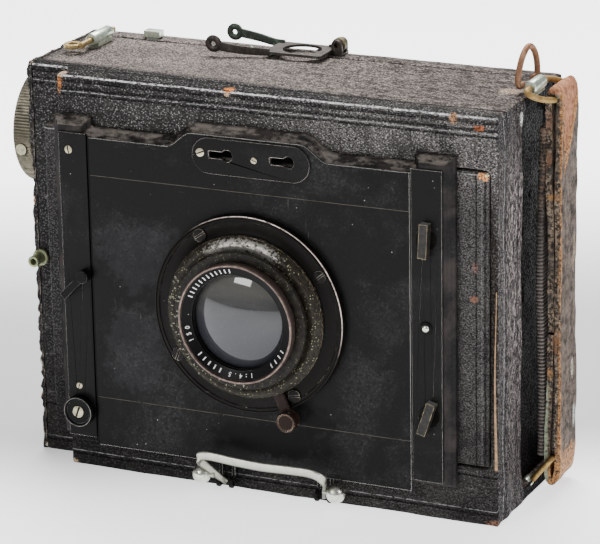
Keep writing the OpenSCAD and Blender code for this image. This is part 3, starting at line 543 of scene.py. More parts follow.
# the bright lines of the board and the back are painted highlights along ridges
board_leather = leather("board_leather", grain=0.66, depth=0.16, shine=0.25,
    lines=[("x", 79.4, 0.6, front), ("x", 82.6, 0.8, front)],
    bright=[("x", 81.4, 0.5, front, 0.08), ("z", 122.9, 0.5, front, 0.3)],
    spots=[((81.8, -30, 122.4), 1.9, (0.62, 0.28, 0.11), (1.4, 1, 0.9)),
        ((83.2, -30, 123.3), 1.0, (0.85, 0.72, 0.5), (1, 1, 1)),
        ((79.0, -30, 91), 1.3, (0.12, 0.07, 0.06), (1, 1, 1.8)),
        ((78.6, -30, 80), 1.3, (0.15, 0.075, 0.05), (1.4, 1, 1.2))], dust=0.4)
back_leather = leather(
    "back_leather",
    lines=[("z", 20.0, 0.9, back), ("z", 118.0, 0.9, back), ("x", -72.0, 0.9, back), ("x", 62.0, 0.9, back)],
    bright=[("z", 21.2, 0.45, back, 0.3), ("z", 116.8, 0.45, back, 0.3)],
    spots=[((-72, 30, 16), 2.6, ORANGE, (1, 1, 1))],
    dust=0.4,
)
lacquer_block = lacquer("lacquer_block", (0.0085, 0.008, 0.0078), (0.4, 0.36, 0.32), 0.35, 0.7, 0.9,
    rubbed=(0.46, 0.62))
lacquer_panel = lacquer("lacquer_panel", worn=(0.62, 0.6, 0.56), edge=0.45, dusty=0.85,
    scribed=(109.5, 29.0), rubbed=(0.2, 0.38), smear=True, gap=mm_box("lens_panel")[0].x)
lacquer_plate = lacquer("lacquer_plate", (0.0062, 0.006, 0.0056), (0.74, 0.66, 0.6), 0.4, 0.5,
    rubbed=(0.2, 0.38))
lacquer_rail = lacquer("lacquer_rail", (0.0062, 0.0064, 0.0058), (0.8, 0.78, 0.72), 0.3, 0.5,
    rubbed=(0.28, 0.44), gap=mm_box("lens_panel")[0].x)
lacquer_latch = latch_look()
lacquer_lens = lacquer("lacquer_lens", (0.007, 0.0062, 0.0055), (0.4, 0.34, 0.28), 0.25, 0.5, 0.2,
    rubbed=(0.42, 0.6))
steel_top = metal("worn_ring", (0.22, 0.215, 0.2), (0.06, 0.055, 0.045), 0.46, 0.55, edge=0.0)
nickel = metal("nickel", (0.46, 0.46, 0.39), (0.37, 0.38, 0.31), 0.26, 0.2, edge=0.1,
    edge_tint=(0.46, 0.46, 0.39), pitted=0.0, rough_by=0.004)
pearl = metal("pearl", (0.7, 0.7, 0.61), (0.42, 0.44, 0.36), 0.22, 0.2, 0.03, edge=0.1, pitted=0.1,
    rough_by=0.006)
bail_look = bail_metal()
nickel_green = metal("nickel_green", (0.72, 0.78, 0.66), (0.32, 0.4, 0.31), 0.3, 0.45, 0.06)
screw_metal = metal("screw_metal", (0.46, 0.42, 0.29), (0.2, 0.18, 0.12), 0.32, 0.45)
brass = metal("brass", (0.52, 0.4, 0.18), (0.22, 0.14, 0.06), 0.38, 0.5)
rust = metal("rust", (0.4, 0.24, 0.15), (0.2, 0.085, 0.045), 0.55, 0.8)
rusty_brass = metal("rusty_brass", (0.52, 0.38, 0.14), (0.22, 0.11, 0.045), 0.5, 0.75, 0.05)
dull_steel = metal("dull_steel", (0.2, 0.19, 0.175), (0.075, 0.07, 0.064), 0.42, 0.6)
oxidised = metal("oxidised", (0.11, 0.095, 0.085), (0.034, 0.03, 0.028), 0.42, 0.6, 0.03)
verdigris = metal("verdigris", (0.42, 0.42, 0.24), (0.12, 0.14, 0.09), 0.5, 0.7, 0.3)
knob_metal = metal("knob_metal", (0.22, 0.2, 0.15), (0.075, 0.068, 0.05), 0.42, 0.6)
bellows_cloth = cloth("bellows_cloth")
curtain_cloth = cloth("curtain_cloth")
black_wood = wood("black_wood")
raw_wood = wood("raw_wood", (0.15, 0.085, 0.04))
lens_glass_look = clear_glass("lens_glass_look")
ground_look = ground("ground_look")
lens_black = lacquer("lens_black", 0.0045, (0.2, 0.19, 0.17), 0.25, 0.12)
flange_look = lacquer("flange_look", (0.0042, 0.0036, 0.003), (0.5, 0.41, 0.32), 0.12, 0.3, 0.0,
    rubbed=(0.48, 0.66))
verdigris_dark = metal("verdigris_dark", (0.1, 0.12, 0.1), (0.035, 0.04, 0.035), 0.42, 0.7, 0.3)
brass_dark = metal("brass_dark", (0.22, 0.19, 0.11), (0.08, 0.07, 0.045), 0.45, 0.6)


def worn_ring_look():
    """Focusing ring: bare grey metal where fingers rubbed it, dark and greenish elsewhere."""
    s = Shade("worn_ring_look")
    blot = s.noise(1.5, 6.0, 0.75)
    high = s.step(s.z, 74.0, 94.0)
    aside = s.both(s.step(s.x, -22.0, -6.0), s.step(s.x, 24.0, 8.0), s.step(s.y, -41.3, -42.2, (0.35, 1.0)))
    rubbed = s.step(s.scaled(s.both(high, aside), 0.28, blot), 0.66, 0.8)
    s.color = s.mix(s.step(blot, 0.3, 0.7), (0.006, 0.005, 0.004), (0.026, 0.021, 0.015))
    speck = s.both(s.step(s.cells(0.9), 0.32, 0.14), s.blots(0.42, 0.56, 2.0))
    s.paint(speck, (0.24, 0.25, 0.14))
    s.paint(rubbed, s.mix(s.noise(0.8, 4.0, 0.7), (0.085, 0.075, 0.058), (0.6, 0.58, 0.53)))
    edge = s.both(s.edges(0.22, 0.05, 0.2), s.blots(0.38, 0.55, 2.0))
    s.paint(edge, (0.5, 0.38, 0.28))
    s.raise_by(s.noise(0.5, 4.0), 0.05)
    return s.finish(s.mix(rubbed, 0.42, 0.36), s.scaled(rubbed, 0.8, 0.05), specular=0.12)


def flange_rim():
    """Edge of the lens flange: bare pinkish metal at the top right only, a painted highlight there, black
    elsewhere.
    """
    s = Shade("flange_rim")
    # painted highlight: bare metal is laid only at the top right, where the light falls
    lit = s.step(s.scaled(s.x, 0.75, s.z), 76.0, 104.0)
    bare = s.both(lit, s.blots(0.3, 0.55, 3.0, 5.0, 0.7))
    s.color = s.mix(bare, (0.01, 0.008, 0.007), (0.72, 0.6, 0.54))
    s.raise_by(s.noise(0.5, 3.0), 0.02)
    return s.finish(0.3, s.both(bare, 0.9), specular=0.12)


def inner_glass():
    """The dark inside of the lens seen through its front glass, with a lighter band across it, partly haze
    and partly painted light.
    """
    s = Shade("inner_glass")
    ghost = s.noise(9.0, 3.0, 0.6, (2.4, 1, 0.7), 1.2)
    place = s.scaled(ghost, 16.0, s.z)
    # painted light: a lighter band, dark below it and painted dark again above it
    s.color = s.mix(s.step(place, 60.0, 74.0), (0.034, 0.035, 0.04), (0.088, 0.086, 0.078))
    s.paint(s.step(place, 84.0, 91.0), (0.03, 0.029, 0.026))
    dust = s.blots(0.6, 0.72, 0.5, 4.0, 0.75)
    s.paint(s.both(dust, 0.4), (0.3, 0.3, 0.28))
    return s.finish(0.02, 0.0, specular=1.0)


def front_glass():
    """Old front glass: dark, painted lighter towards the top, partly haze and partly painted light in the
    lens, with a faint painted ghost of the glass behind it.
    """
    s = Shade("front_glass")
    ghost = s.noise(9.0, 3.0, 0.6, (2.4, 1, 0.7), 1.2)
    place = s.scaled(ghost, 14.0, s.z)
    # painted light: lighter towards the top, its edge wobbled by the ghost noise
    s.color = s.mix(s.step(place, 70.0, 92.0), (0.024, 0.025, 0.03), (0.078, 0.076, 0.068))
    dust = s.blots(0.58, 0.72, 0.6, 4.0, 0.75)
    s.paint(s.both(dust, 0.25), (0.2, 0.2, 0.18))
    return s.finish(0.03, 0.0, specular=0.5)


def speckled_ring():
    """Aperture ring: nearly black, with pale green and brassy specks."""
    s = Shade("speckled_ring")
    s.color = s.mix(s.blots(0.35, 0.65, 1.4, 5.0, 0.7), (0.005, 0.0045, 0.004), (0.02, 0.017, 0.013))
    speck = s.both(s.step(s.cells(0.75), 0.24, 0.1), s.blots(0.44, 0.58, 1.7, 4.0, 0.7))
    s.paint(s.both(speck, 0.9), s.mix(s.noise(1.2), (0.12, 0.18, 0.09), (0.42, 0.38, 0.22)))
    edge = s.both(s.edges(0.22, 0.06, 0.2), s.blots(0.42, 0.56, 1.6))
    s.paint(edge, (0.46, 0.37, 0.28))
    s.raise_by(s.noise(0.4, 4.0), 0.06)
    return s.finish(0.42, 0.05, specular=0.12)


def chalk(name, tint, patchy):
    """Paint in engraved numbers, partly gone."""
    s = Shade(name)
    s.color = s.mix(s.blots(0.35, 0.35 + patchy, 0.5, 4.0), tuple(c * 0.35 for c in tint), tint)
    s.raise_by(s.noise(0.3, 3.0), 0.01)
    return s.finish(0.7)


def strap_look():
    """Handle: black leather, pink-brown suede at the upper fold, orange torn edges."""
    s = Shade("strap_leather")
    grain = s.cells(0.7, warp=0.5)
    dots = s.step(grain, 0.5, 0.12)
    mottle = s.noise(4.0, 6.0, 0.72)
    black = s.mix(s.step(mottle, 0.35, 0.65), (0.024, 0.018, 0.014), (0.165, 0.124, 0.1))
    black = s.mix(s.both(dots, s.blots(0.4, 0.6, 2.0, 4.0), 0.45), black, (0.24, 0.195, 0.155))
    gleam = s.both(s.blots(0.56, 0.66, 1.4, 5.0, 0.7, (1, 1, 7), 0.5), 0.6)
    black = s.mix(gleam, black, (0.31, 0.25, 0.21))
    fore = s.step(s.both(s.ny, -1.0), 0.4, 0.7)
    edge_color = s.mix(s.blots(0.44, 0.62, 1.3, 5.0, 0.75), (0.03, 0.024, 0.019), (0.29, 0.22, 0.16))
    edge_color = s.mix(s.both(s.blots(0.6, 0.68, 0.8, 3.0), 0.8), edge_color, (0.5, 0.4, 0.28))
    edge_color = s.mix(s.both(s.blots(0.48, 0.62, 5.0, 3.0), 0.6), edge_color, (0.06, 0.055, 0.05))
    black = s.mix(fore, black, edge_color)
    fringe = s.both(s.calc("SUBTRACT", s.noise(1.7, 5.0, 0.75), 0.5), 12.0)
    tail = s.calc("ADD", s.scaled(s.calc("SUBTRACT", s.y, 9.5), -1.9, s.z), fringe)
    flap = s.calc("ADD", s.y, s.both(s.z, 0.11))
    flap = s.scaled(s.noise(1.5, 4.0, 0.7), 1.6, flap)
    outer = s.both(s.step(s.x, 93.2, 93.9), s.step(flap, 23.8, 24.1))
    suede = s.either(s.both(s.step(tail, 114.0, 115.0), outer), s.step(s.z, 141.5, 142.5))
    torn = s.both(s.step(tail, 110.5, 111.5),
        s.either(s.rest(s.step(tail, 117.0, 118.5)), s.step(flap, 25.0, 24.6)), outer)
    hide = s.mix(s.blots(0.3, 0.7, 2.2, 6.0, 0.78), (0.19, 0.062, 0.03), (0.66, 0.32, 0.18))
    hide = s.mix(s.both(dots, 0.35), hide, (0.5, 0.3, 0.22))
    amber = s.mix(s.blots(0.38, 0.62, 0.9, 5.0, 0.78), (0.09, 0.03, 0.01), (0.7, 0.36, 0.15))
    s.color = s.mix(suede, black, hide)
    s.paint(torn, amber)
    # orange raw lines along the strap's corners and round the bottom fold
    seam = s.both(s.edges(0.3, 0.08, 0.3), s.step(s.z, 100.0, 112.0, (0.35, 1.0)),
        s.blots(0.44, 0.58, 2.4, 5.0, 0.72, (1, 1, 3)))
    s.paint(seam, amber)
    outer_seam = s.both(s.step(s.x, 94.5, 95.2), s.step(s.y, 8.4, 7.8),
        s.blots(0.4, 0.54, 1.6, 5.0, 0.75, (1, 1, 3)))
    s.paint(outer_seam, amber)
    low = s.both(s.step(s.scaled(s.noise(5.0, 6.0, 0.75), 30.0, s.z), 31.0, 26.0),
        s.blots(0.4, 0.52, 1.8, 6.0, 0.75))
    s.paint(low, amber)
    fray = s.blots(0.42, 0.54, 1.3, 6.0, 0.8, (1, 1, 0.6))
    for at, radius, shade, stretch in (
        ((93.6, 7.0, 55), 1.3, (0.34, 0.17, 0.09), (1, 1, 4.2)),
        ((91.6, 7.0, 43), 1.5, (0.5, 0.27, 0.12), (1, 1, 1.6)),
        ((95.4, 20, 84), 1.5, (0.5, 0.38, 0.24), (1, 1, 4.6)),
        ((95.6, 19, 42), 1.1, (0.75, 0.72, 0.6), (1, 1, 3.6)),
        ((95.6, 21, 24), 1.2, (0.72, 0.8, 0.76), (1, 1, 3.6)),
        ((93.2, 7.0, 106), 2.1, (0.52, 0.27, 0.11), (1.6, 1, 0.6)),
        ((90.4, 7.0, 132), 1.6, (0.4, 0.22, 0.15), (1.3, 1, 2.4)),
        ((91, 7.0, 119), 1.1, (0.3, 0.15, 0.08), (1.0, 1, 2.6)),
    ):
        ragged = s.both(s.spot(at, radius, stretch=stretch), fray)
        s.paint(ragged, s.mix(s.noise(0.8, 4.0, 0.7), tuple(c * 0.3 for c in shade), shade))
    patina = s.both(s.step(s.x, 91.6, 90.9), fore, s.step(s.z, 42.0, 36.0), s.blots(0.32, 0.5, 1.4, 4.0))
    s.paint(patina, s.mix(s.noise(0.8), (0.16, 0.19, 0.1), (0.5, 0.56, 0.42)))
    s.raise_by(grain, -0.25)
    s.raise_by(s.noise(1.6, 5.0, 0.72), 0.55)
    s.raise_by(torn, 0.4)
    return s.finish(s.mix(suede, 0.6, 0.9), 0.0, specular=0.1)


def welt_leather():
    """Welt behind the handle: ribbed at the bottom, torn brown at the top."""
    s = Shade("welt_look")
    rib = s.scaled(s.calc("SINE", s.both(s.z, 2 * math.pi / WELT_RIB)), 0.5, 0.5)
    low = s.step(s.z, 104.0, 70.0)
    s.color = s.mix(s.both(rib, low), (0.03, 0.026, 0.024), (0.21, 0.18, 0.165))
    s.paint(s.both(s.blots(0.46, 0.62, 1.6, 5.0, 0.75, (1, 1, 3)), 0.8), (0.13, 0.11, 0.098))
    torn = s.both(s.step(s.z, 92.0, 118.0, (0.0, 1.0)), s.blots(0.42, 0.56, 2.2, 6.0, 0.75))
    s.paint(torn, s.mix(s.noise(0.8, 4.0), (0.075, 0.05, 0.036), (0.27, 0.185, 0.13)))
    s.raise_by(s.noise(0.6, 3.0), 0.1)
    s.raise_by(s.both(rib, low), 0.15)
    return s.finish(0.7, specular=0.15)


worn_ring = worn_ring_look()
mottled = speckled_ring()
inner_glass_look = inner_glass()
front_glass_look = front_glass()
flange_edge_highlight = flange_rim()
rim_bronze = metal("rim_bronze", (0.24, 0.175, 0.15), (0.055, 0.04, 0.033), 0.26, 0.7,
    edge_tint=(0.7, 0.58, 0.52))
button_black = lacquer("button_black", (0.016, 0.009, 0.007), (0.55, 0.4, 0.3), 0.3, 0.3, rubbed=(0.25, 0.45))
knob_screw_look = metal("knob_screw_look", (0.36, 0.34, 0.24), (0.16, 0.15, 0.1), 0.36, 0.5)
paint = chalk("paint", (0.75, 0.75, 0.72), 0.2)
worn_paint = chalk("worn_paint", (0.42, 0.44, 0.32), 0.4)
strap_leather = strap_look()
welt_look = welt_leather()

# ---------------------------------------------------------------- mesh helpers


def value_noise(points, size, seed):
    """Smooth noise from -1 to 1 at points, with features of about that size."""
    rng = np.random.default_rng(seed)
    table = rng.uniform(-1, 1, (32, 32, 32))
    p = points / size + 1000.0
    base = np.floor(p).astype(int)
    f = p - base
    f = f * f * (3 - 2 * f)
    total = np.zeros(len(points))
    for corner in range(8):
        bit = np.array([corner & 1, corner >> 1 & 1, corner >> 2 & 1])
        share = np.prod(np.where(bit, f, 1 - f), axis=1)
        index = (base + bit) % 32
        total += share * table[index[:, 0], index[:, 1], index[:, 2]]
    return total


def piece(name, points, faces, look, body, stands_for=(), slot=None, smooth=True, sharp=None):
    """A mesh piece from points in millimetres that rides on a body, given by its own name or by
    the name of a node in it."""
    mesh = bpy.data.meshes.new(name)
    mesh.from_pydata([tuple(np.asarray(p) * MM) for p in points], [], faces)
    mesh.validate()
    obj = bpy.data.objects.new(name, mesh)
    return settle(obj, look, body, stands_for, smooth, sharp)


def settle(obj, look, body, stands_for=(), smooth=True, sharp=None):
    """Gives a new object its material, shading and body."""
    if obj.name not in bpy.context.scene.collection.objects:
        bpy.context.scene.collection.objects.link(obj)
    obj.data.materials.clear()
    obj.data.materials.append(look)
    for p in obj.data.polygons:
        p.use_smooth = smooth
    if sharp is not None:
        obj.data.set_sharp_from_angle(angle=math.radians(sharp))
    body = body_of.get(body, body)
    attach(obj, body)
    if stands_for:
        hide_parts(*([stands_for] if isinstance(stands_for, str) else stands_for))
    return obj


def tube_faces(rings, around, wrap=None):
    """Faces between rings of points; ring number wrap is ring 0 again."""
    faces = []
    for i in range(rings - 1):
        j = i + 1 if i + 1 != wrap else 0
        for k in range(around):
            n = (k + 1) % around
            faces.append((i * around + k, i * around + n, j * around + n, j * around + k))
    return faces


def turn(name, profile, centre, axis, look, body, segments=160, wave=None, **kw):
    """A surface of revolution: profile is (radius, distance along the axis) points, closed.
    wave(angle, radius, along) moves a point's radius."""
    axis = np.array(axis, float)
    side = np.array([1.0, 0, 0]) if abs(axis[0]) < 0.5 else np.array([0, 0, 1.0])
    other = np.cross(axis, side)
    centre = np.array(centre, float)
    points = []
    count = len(profile)
    for i in range(segments):
        a = 2 * math.pi * i / segments
        out = side * math.cos(a) + other * math.sin(a)
        for r, t in profile:
            r = wave(a, r, t) if wave else r
            points.append(centre + out * r + axis * t)
    obj = piece(name, points, tube_faces(segments + 1, count, segments), look, body, **kw)
    mend(obj)
    return obj


def mend(obj):
    """Merges doubled points and turns every face outwards."""
    bm = bmesh.new()
    bm.from_mesh(obj.data)
    bmesh.ops.remove_doubles(bm, verts=bm.verts, dist=MERGE)
    bmesh.ops.dissolve_degenerate(bm, edges=bm.edges, dist=MERGE)
    bmesh.ops.recalc_face_normals(bm, faces=bm.faces)
    bm.to_mesh(obj.data)
    bm.free()


def sweep(name, path, section, look, body, up=(0, 0, 1), scale=None, **kw):
    """A section (list of (u, v) points) drawn along a path of points in millimetres."""
    path = np.array(path, float)
    count, around = len(path), len(section)
    points, faces = [], []
    up = np.array(up, float)
    for i, p in enumerate(path):
        along = path[min(i + 1, count - 1)] - path[max(i - 1, 0)]
        along /= np.linalg.norm(along) + 1e-12
        u = np.cross(up, along)
        u = u / (np.linalg.norm(u) + 1e-12)
        v = np.cross(along, u)
        size = scale(i / (count - 1)) if scale else 1.0
        size = size if isinstance(size, tuple) else (size, size)
        points += [p + u * a * size[0] + v * b * size[1] for a, b in section]
    faces += tube_faces(count, around)
    faces.append(tuple(range(around)))
    faces.append(tuple((count - 1) * around + k for k in range(around)))
    obj = piece(name, points, faces, look, body, **kw)
    mend(obj)
    return obj


def round_section(r, n):
    """A wire's section with n corners."""
    return [(r * math.cos(2 * math.pi * i / n), r * math.sin(2 * math.pi * i / n)) for i in range(n)]


def flat_section(w, t, round_by=0.3, n=4):
    """A bar's section w wide and t thick with rounded corners."""
    pts = []
    for cx, cy, a0 in ((1, 1, 0), (-1, 1, 90), (-1, -1, 180), (1, -1, 270)):
        for i in range(n + 1):
            a = math.radians(a0 + 90 * i / n)
            u = cx * (w / 2 - round_by) + round_by * math.cos(a)
            v = cy * (t / 2 - round_by) + round_by * math.sin(a)
            pts.append((u, v))
    return pts


def smooth_path(corners, per=12):
    """A Catmull-Rom curve through points."""
    p = np.array(corners, float)
    p = np.vstack([2 * p[0] - p[1], p, 2 * p[-1] - p[-2]])
    out = []
    for a, b, c, d in zip(p, p[1:], p[2:], p[3:]):
        for k in range(per):
            t = k / per
            out.append(0.5 * (2 * b + (c - a) * t + (2 * a - 5 * b + 4 * c - d) * t * t
                    + (3 * b - a - 3 * c + d) * t**3))
    out.append(p[-2])
    return np.array(out)


def read(mesh, what):
    """The places or normals of a mesh's points, one row each."""
    values = np.empty(len(mesh.vertices) * 3)
    mesh.vertices.foreach_get(what, values)
    return values.reshape(-1, 3)


def place(mesh, points):
    """Moves a mesh's points to places in millimetres."""
    mesh.vertices.foreach_set("co", (points * MM).ravel())
    mesh.update()


def modify(obj, kind, **settings):
    """Adds a modifier."""
    made = obj.modifiers.new(kind.lower(), kind)
    for key, value in settings.items():
        setattr(made, key, value)


def dress(node, look, bevel):
    """A CAD node keeps its shape: worn edges and a material."""
    obj = nodes[node]
    obj.data.materials.clear()
    obj.data.materials.append(look)
    for p in obj.data.polygons:
        p.use_smooth = True
    modify(obj, "WELD", merge_threshold=MERGE)
    if bevel:
        modify(obj, "BEVEL", width=bevel * MM, segments=2, limit_method="ANGLE", angle_limit=CREASE,
            harden_normals=False)
        modify(obj, "WEIGHTED_NORMAL", keep_sharp=False)
    else:
        modify(obj, "EDGE_SPLIT", split_angle=CREASE)


def soften(node, look, voxel, rounds, wave, size, seed, shift=None):
    """A leather or cloth skin over a CAD node: rounded corners and slight waves."""
    source = nodes[node]
    obj = bpy.data.objects.new(node + "_skin", source.data.copy())
    bpy.context.scene.collection.objects.link(obj)
    modify(obj, "WELD", merge_threshold=MERGE)
    modify(obj, "REMESH", mode="VOXEL", voxel_size=voxel * MM)
    modify(obj, "SMOOTH", iterations=rounds, factor=0.5)
    baked = bpy.data.meshes.new_from_object(obj.evaluated_get(bpy.context.evaluated_depsgraph_get()))
    obj.modifiers.clear()
    obj.data = baked
    co, no = read(baked, "co") / MM, read(baked, "normal")
    swell = value_noise(co, size, seed) * wave + value_noise(co, size * 0.35, seed + 9) * wave * 0.35
    co = co + no * (swell - wave * 0.6)[:, None]
    if shift is not None:
        co = shift(co, no)
    place(baked, co)
    settle(obj, look, source["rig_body"], node)


# ---------------------------------------------------------------- pieces

cheek_low = mm_box("cheek_cover")[0]


def cheek_tears(co, no):
    """The cheek's outer edge is frayed and torn."""
    co = co.copy()
    near = np.exp(-(((co[:, 0] - cheek_low.x) / 1.6) ** 2))
    tear = value_noise(co, 2.4, 61) + 0.6 * value_noise(co, 0.9, 62)
    co[:, 0] += near * np.clip(tear + 0.35, 0, 2) * 0.9
    return co


def lip_wear(co, no):
    """Bruises along the box's front edges and knocked corners."""
    knock = value_noise(co, 3.0, 31)
    near = np.exp(-(((co[:, 1] - lip) / 2.0) ** 2)) * (co[:, 2] > 120)
    co = co.copy()
    co[:, 2] += near * knock * 0.25
    # the flank's leather has sunk into a channel in front of the handle
    rise = np.clip((co[:, 1] + 8.0) / 5.0, 0, 1) * np.clip((9.0 - co[:, 1]) / 5.0, 0, 1)
    rise = rise * rise * (3 - 2 * rise)
    ends = np.clip((co[:, 2] - 6) / 12, 0, 1) * np.clip((139 - co[:, 2]) / 6, 0, 1)
    wavy = 1 + 0.25 * value_noise(co, 14.0, 33)
    co[:, 0] -= (no[:, 0] > 0.3) * (co[:, 0] > 84) * rise * ends * wavy * 2.4
    beside = (co[:, 0] > 86) * (co[:, 1] < -6) * (co[:, 1] > lip + 3)
    puffed = value_noise(co * np.array([1, 1, 0.35]), 5.0, 35) * beside
    co[:, 0] += np.minimum(0, puffed - 0.3) * 0.7
    return co


soften("body_shell", shell_leather, 0.8, 3, 0.2, 12.0, 3, lip_wear)
soften("cheek_cover", cheek_leather, 0.5, 2, 0.35, 5.0, 5, cheek_tears)
soften("rear_frame", rear_leather, 0.8, 3, 0.15, 12.0, 7)
soften("front_board", board_leather, 0.7, 2, 0.12, 10.0, 8)
soften("cover_door", back_leather, 0.8, 3, 0.15, 12.0, 9)
soften("front_block", lacquer_block, 0.45, 7, 0.05, 9.0, 11)

# CAD nodes whose shape is right keep it, with worn edges and a material of their own.
for node, look, bevel in (
    ("tripod_bush", brass, 0.2),
    ("shutter_frame", black_wood, 0.3),
    ("curtain", curtain_cloth, 0),
    ("roller_upper", dull_steel, 0.2),
    ("roller_lower", dull_steel, 0.2),
    ("winder_gear", dull_steel, 0.05),
    ("knob_screw", knob_screw_look, 0.2),
    ("release_plunger", brass, 0.15),
    ("rail_left", lacquer_rail, 0.12),
    ("rail_right", lacquer_rail, 0.12),
    ("lens_panel", lacquer_panel, 0.12),
    ("keyhole_plate", lacquer_plate, 0.2),
    ("latch_upper", lacquer_latch, 0.3),
    ("latch_lower", lacquer_latch, 0.3),
    ("lever_left", lens_black, 0.4),
    ("root_brackets", dull_steel, 0.1),
    ("front_brackets", dull_steel, 0.1),
    ("bail_lugs", lacquer_rail, 0.2),
    ("finder_base", oxidised, 0.15),
    ("lug_eyelet", brass, 0.2),
    ("back_catch", nickel_green, 0.2),
    ("focus_back", black_wood, 0.4),
    ("ground_glass", ground_look, 0.1),
    ("door_catch", nickel, 0.2),
    ("iris", lacquer_lens, 0.05),
    ("lens_barrel", lens_black, 0.15),
    ("aperture_ring", mottled, 0.3),
    ("release_socket", verdigris, 0.3),
):
    dress(node, look, bevel)
for side in ("left", "right"):
    for link in ("a1", "b1", "b2", "a2"):
        dress(f"link_{side}_{link}", dull_steel, 0.15)


def slotted_screw(name, x, z, y, radius, height, angle, look, body, slot=0.34, **kw):
    """A domed screw head on the face at y, its slot turned by angle degrees."""
    rows, columns = 7, 12
    points, faces = [], []
    turned = math.radians(angle)
    half = slot * radius / 2
    for side in (1, -1):
        start = len(points)
        for r in range(rows + 1):
            v = half + (radius - half) * r / rows
            reach = math.sqrt(max(0.0, radius * radius - v * v))
            for c in range(columns + 1):
                u = reach * (2 * c / columns - 1)
                dome = height * (1 - 0.45 * (u * u + v * v) / radius**2)
                points.append((u, side * v, dome))
        for r in range(rows):
            for c in range(columns):
                i = start + r * (columns + 1) + c
                faces.append((i, i + 1, i + columns + 2, i + columns + 1))
        # walls of the slot and the rim
        foot = len(points)
        edge = [start + c for c in range(columns + 1)]
        edge += [start + r * (columns + 1) + columns for r in range(1, rows + 1)]
        edge += [start + r * (columns + 1) for r in range(rows - 1, 0, -1)]
        for i in edge:
            points.append((points[i][0], points[i][1], -0.1))
        for k in range(len(edge)):
            n = (k + 1) % len(edge)
            faces.append((edge[k], edge[n], foot + n, foot + k))
        faces.append(tuple(foot + k for k in range(len(edge))))
    floor = len(points)
    for k in range(24):
        a = 2 * math.pi * k / 24
        points.append((radius * 0.98 * math.cos(a), radius * 0.98 * math.sin(a), height * 0.28))
    faces.append(tuple(floor + k for k in range(24)))
    ca, sa = math.cos(turned), math.sin(turned)
    placed = [(x + u * ca - v * sa, y - w, z + u * sa + v * ca) for u, v, w in points]
    mend(piece(name, placed, faces, look, body, sharp=40, **kw))
    long, low = radius * 0.93, height * 0.42
    bar = [(-long, -half), (long, -half), (long, half), (-long, half)]
    bar = [(x + u * ca - v * sa, y - w, z + u * sa + v * ca) for w in (-0.1, low) for u, v in bar]
    box = [(0, 3, 2, 1), (4, 5, 6, 7), (0, 1, 5, 4), (1, 2, 6, 5), (2, 3, 7, 6), (3, 0, 4, 7)]
    piece(name + "_slot", bar, box, lens_black, body, smooth=False)


def face_y(node):
    """The front face of a CAD node, in millimetres."""
    return mm_box(node)[0].y


rail_front = face_y("rail_left")
plate_front = face_y("keyhole_plate")
flange_front = face_y("lens_flange")
LENS_Z = (mm_box("aperture_ring")[0].z + mm_box("aperture_ring")[1].z) / 2

for name, x, z, y, radius, height, angle, node, stands_for in (
    ("rail_screw_top", -67.6, 117.9, rail_front, 1.4, 0.55, 100, "front_screws", "front_screws"),
    ("rail_screw_low", -66.9, 32.1, rail_front, 1.15, 0.45, 70, "front_screws", ()),
    ("plate_screw_left", -17.2, 122.3, plate_front, 1.5, 0.45, 20, "panel_screws", "panel_screws"),
    ("plate_screw_mid", 2.6, 121.4, plate_front, 1.1, 0.4, 160, "panel_screws", ()),
):
    slotted_screw(name, x, z, y, radius, height, angle, screw_metal, node, stands_for=stands_for)
SCREW_CIRCLE = 31.6
for number, (angle, turned) in enumerate(((123, 35), (32, 40), (213, 70), (302, 10))):
    x = SCREW_CIRCLE * math.cos(math.radians(angle))
    z = LENS_Z + SCREW_CIRCLE * math.sin(math.radians(angle))
    slotted_screw(f"flange_screw_{number}", x, z, flange_front, 2.3, 0.5, turned, lacquer_lens,
        "panel_screws", slot=0.3)


def ring(name, profile, look, node, **kw):
    """A part of the lens: profile is (radius, distance forward of the frame's middle)."""
    return turn(name, profile, (0, 0, LENS_Z), FORWARD, look, node, **kw)


def milled(teeth, deep, above):
    """A wave for turn: teeth on what lies beyond the radius above."""
    return lambda a, r, t: r + (deep * math.cos(teeth * a) if r > above else 0)


front_of = {n: -mm_box(n)[0].y for n in ("lens_flange", "focus_ring", "aperture_ring", "front_rim")}
flange_t = front_of["lens_flange"]
ring("flange_edge", [(34.45, flange_t - 0.25), (34.7, flange_t + 0.02), (34.95, flange_t - 0.25),
        (34.7, flange_t - 0.5)], flange_edge_highlight, "lens_flange", segments=240)
ring("flange", [(26.05, 22.2), (27.9, 22.2), (27.9, 35.5), (34.6, 35.5), (34.95, 35.8),
        (34.9, flange_t - 0.9), (34.5, flange_t - 0.3), (33.9, flange_t), (33.3, flange_t - 0.05),
        (33.0, flange_t - 0.35), (29.4, flange_t - 0.35), (29.1, flange_t - 0.1),
        (26.4, flange_t - 0.1), (26.05, flange_t - 0.4)], flange_look, "lens_flange", segments=480,
    wave=milled(160, 0.1, 34.7), stands_for="lens_flange", slot="black_lacquer", sharp=40)
focus_t = 43.0
ring("focusing_ring", [(22.7, 26.1), (25.95, 26.1), (25.95, 38.8), (28.2, 38.8), (28.5, 39.1),
        (28.5, 40.2), (28.1, 40.4), (28.1, 40.7), (28.5, 40.9), (28.5, 41.3), (28.2, 41.6),
        (27.0, focus_t - 0.1), (26.6, focus_t), (25.6, focus_t), (25.3, focus_t - 0.25),
        (22.7, focus_t - 0.25)], worn_ring, "focus_ring", segments=360, wave=milled(120, 0.09, 28.3),
    stands_for="focus_ring", slot="worn_bronze", sharp=40)
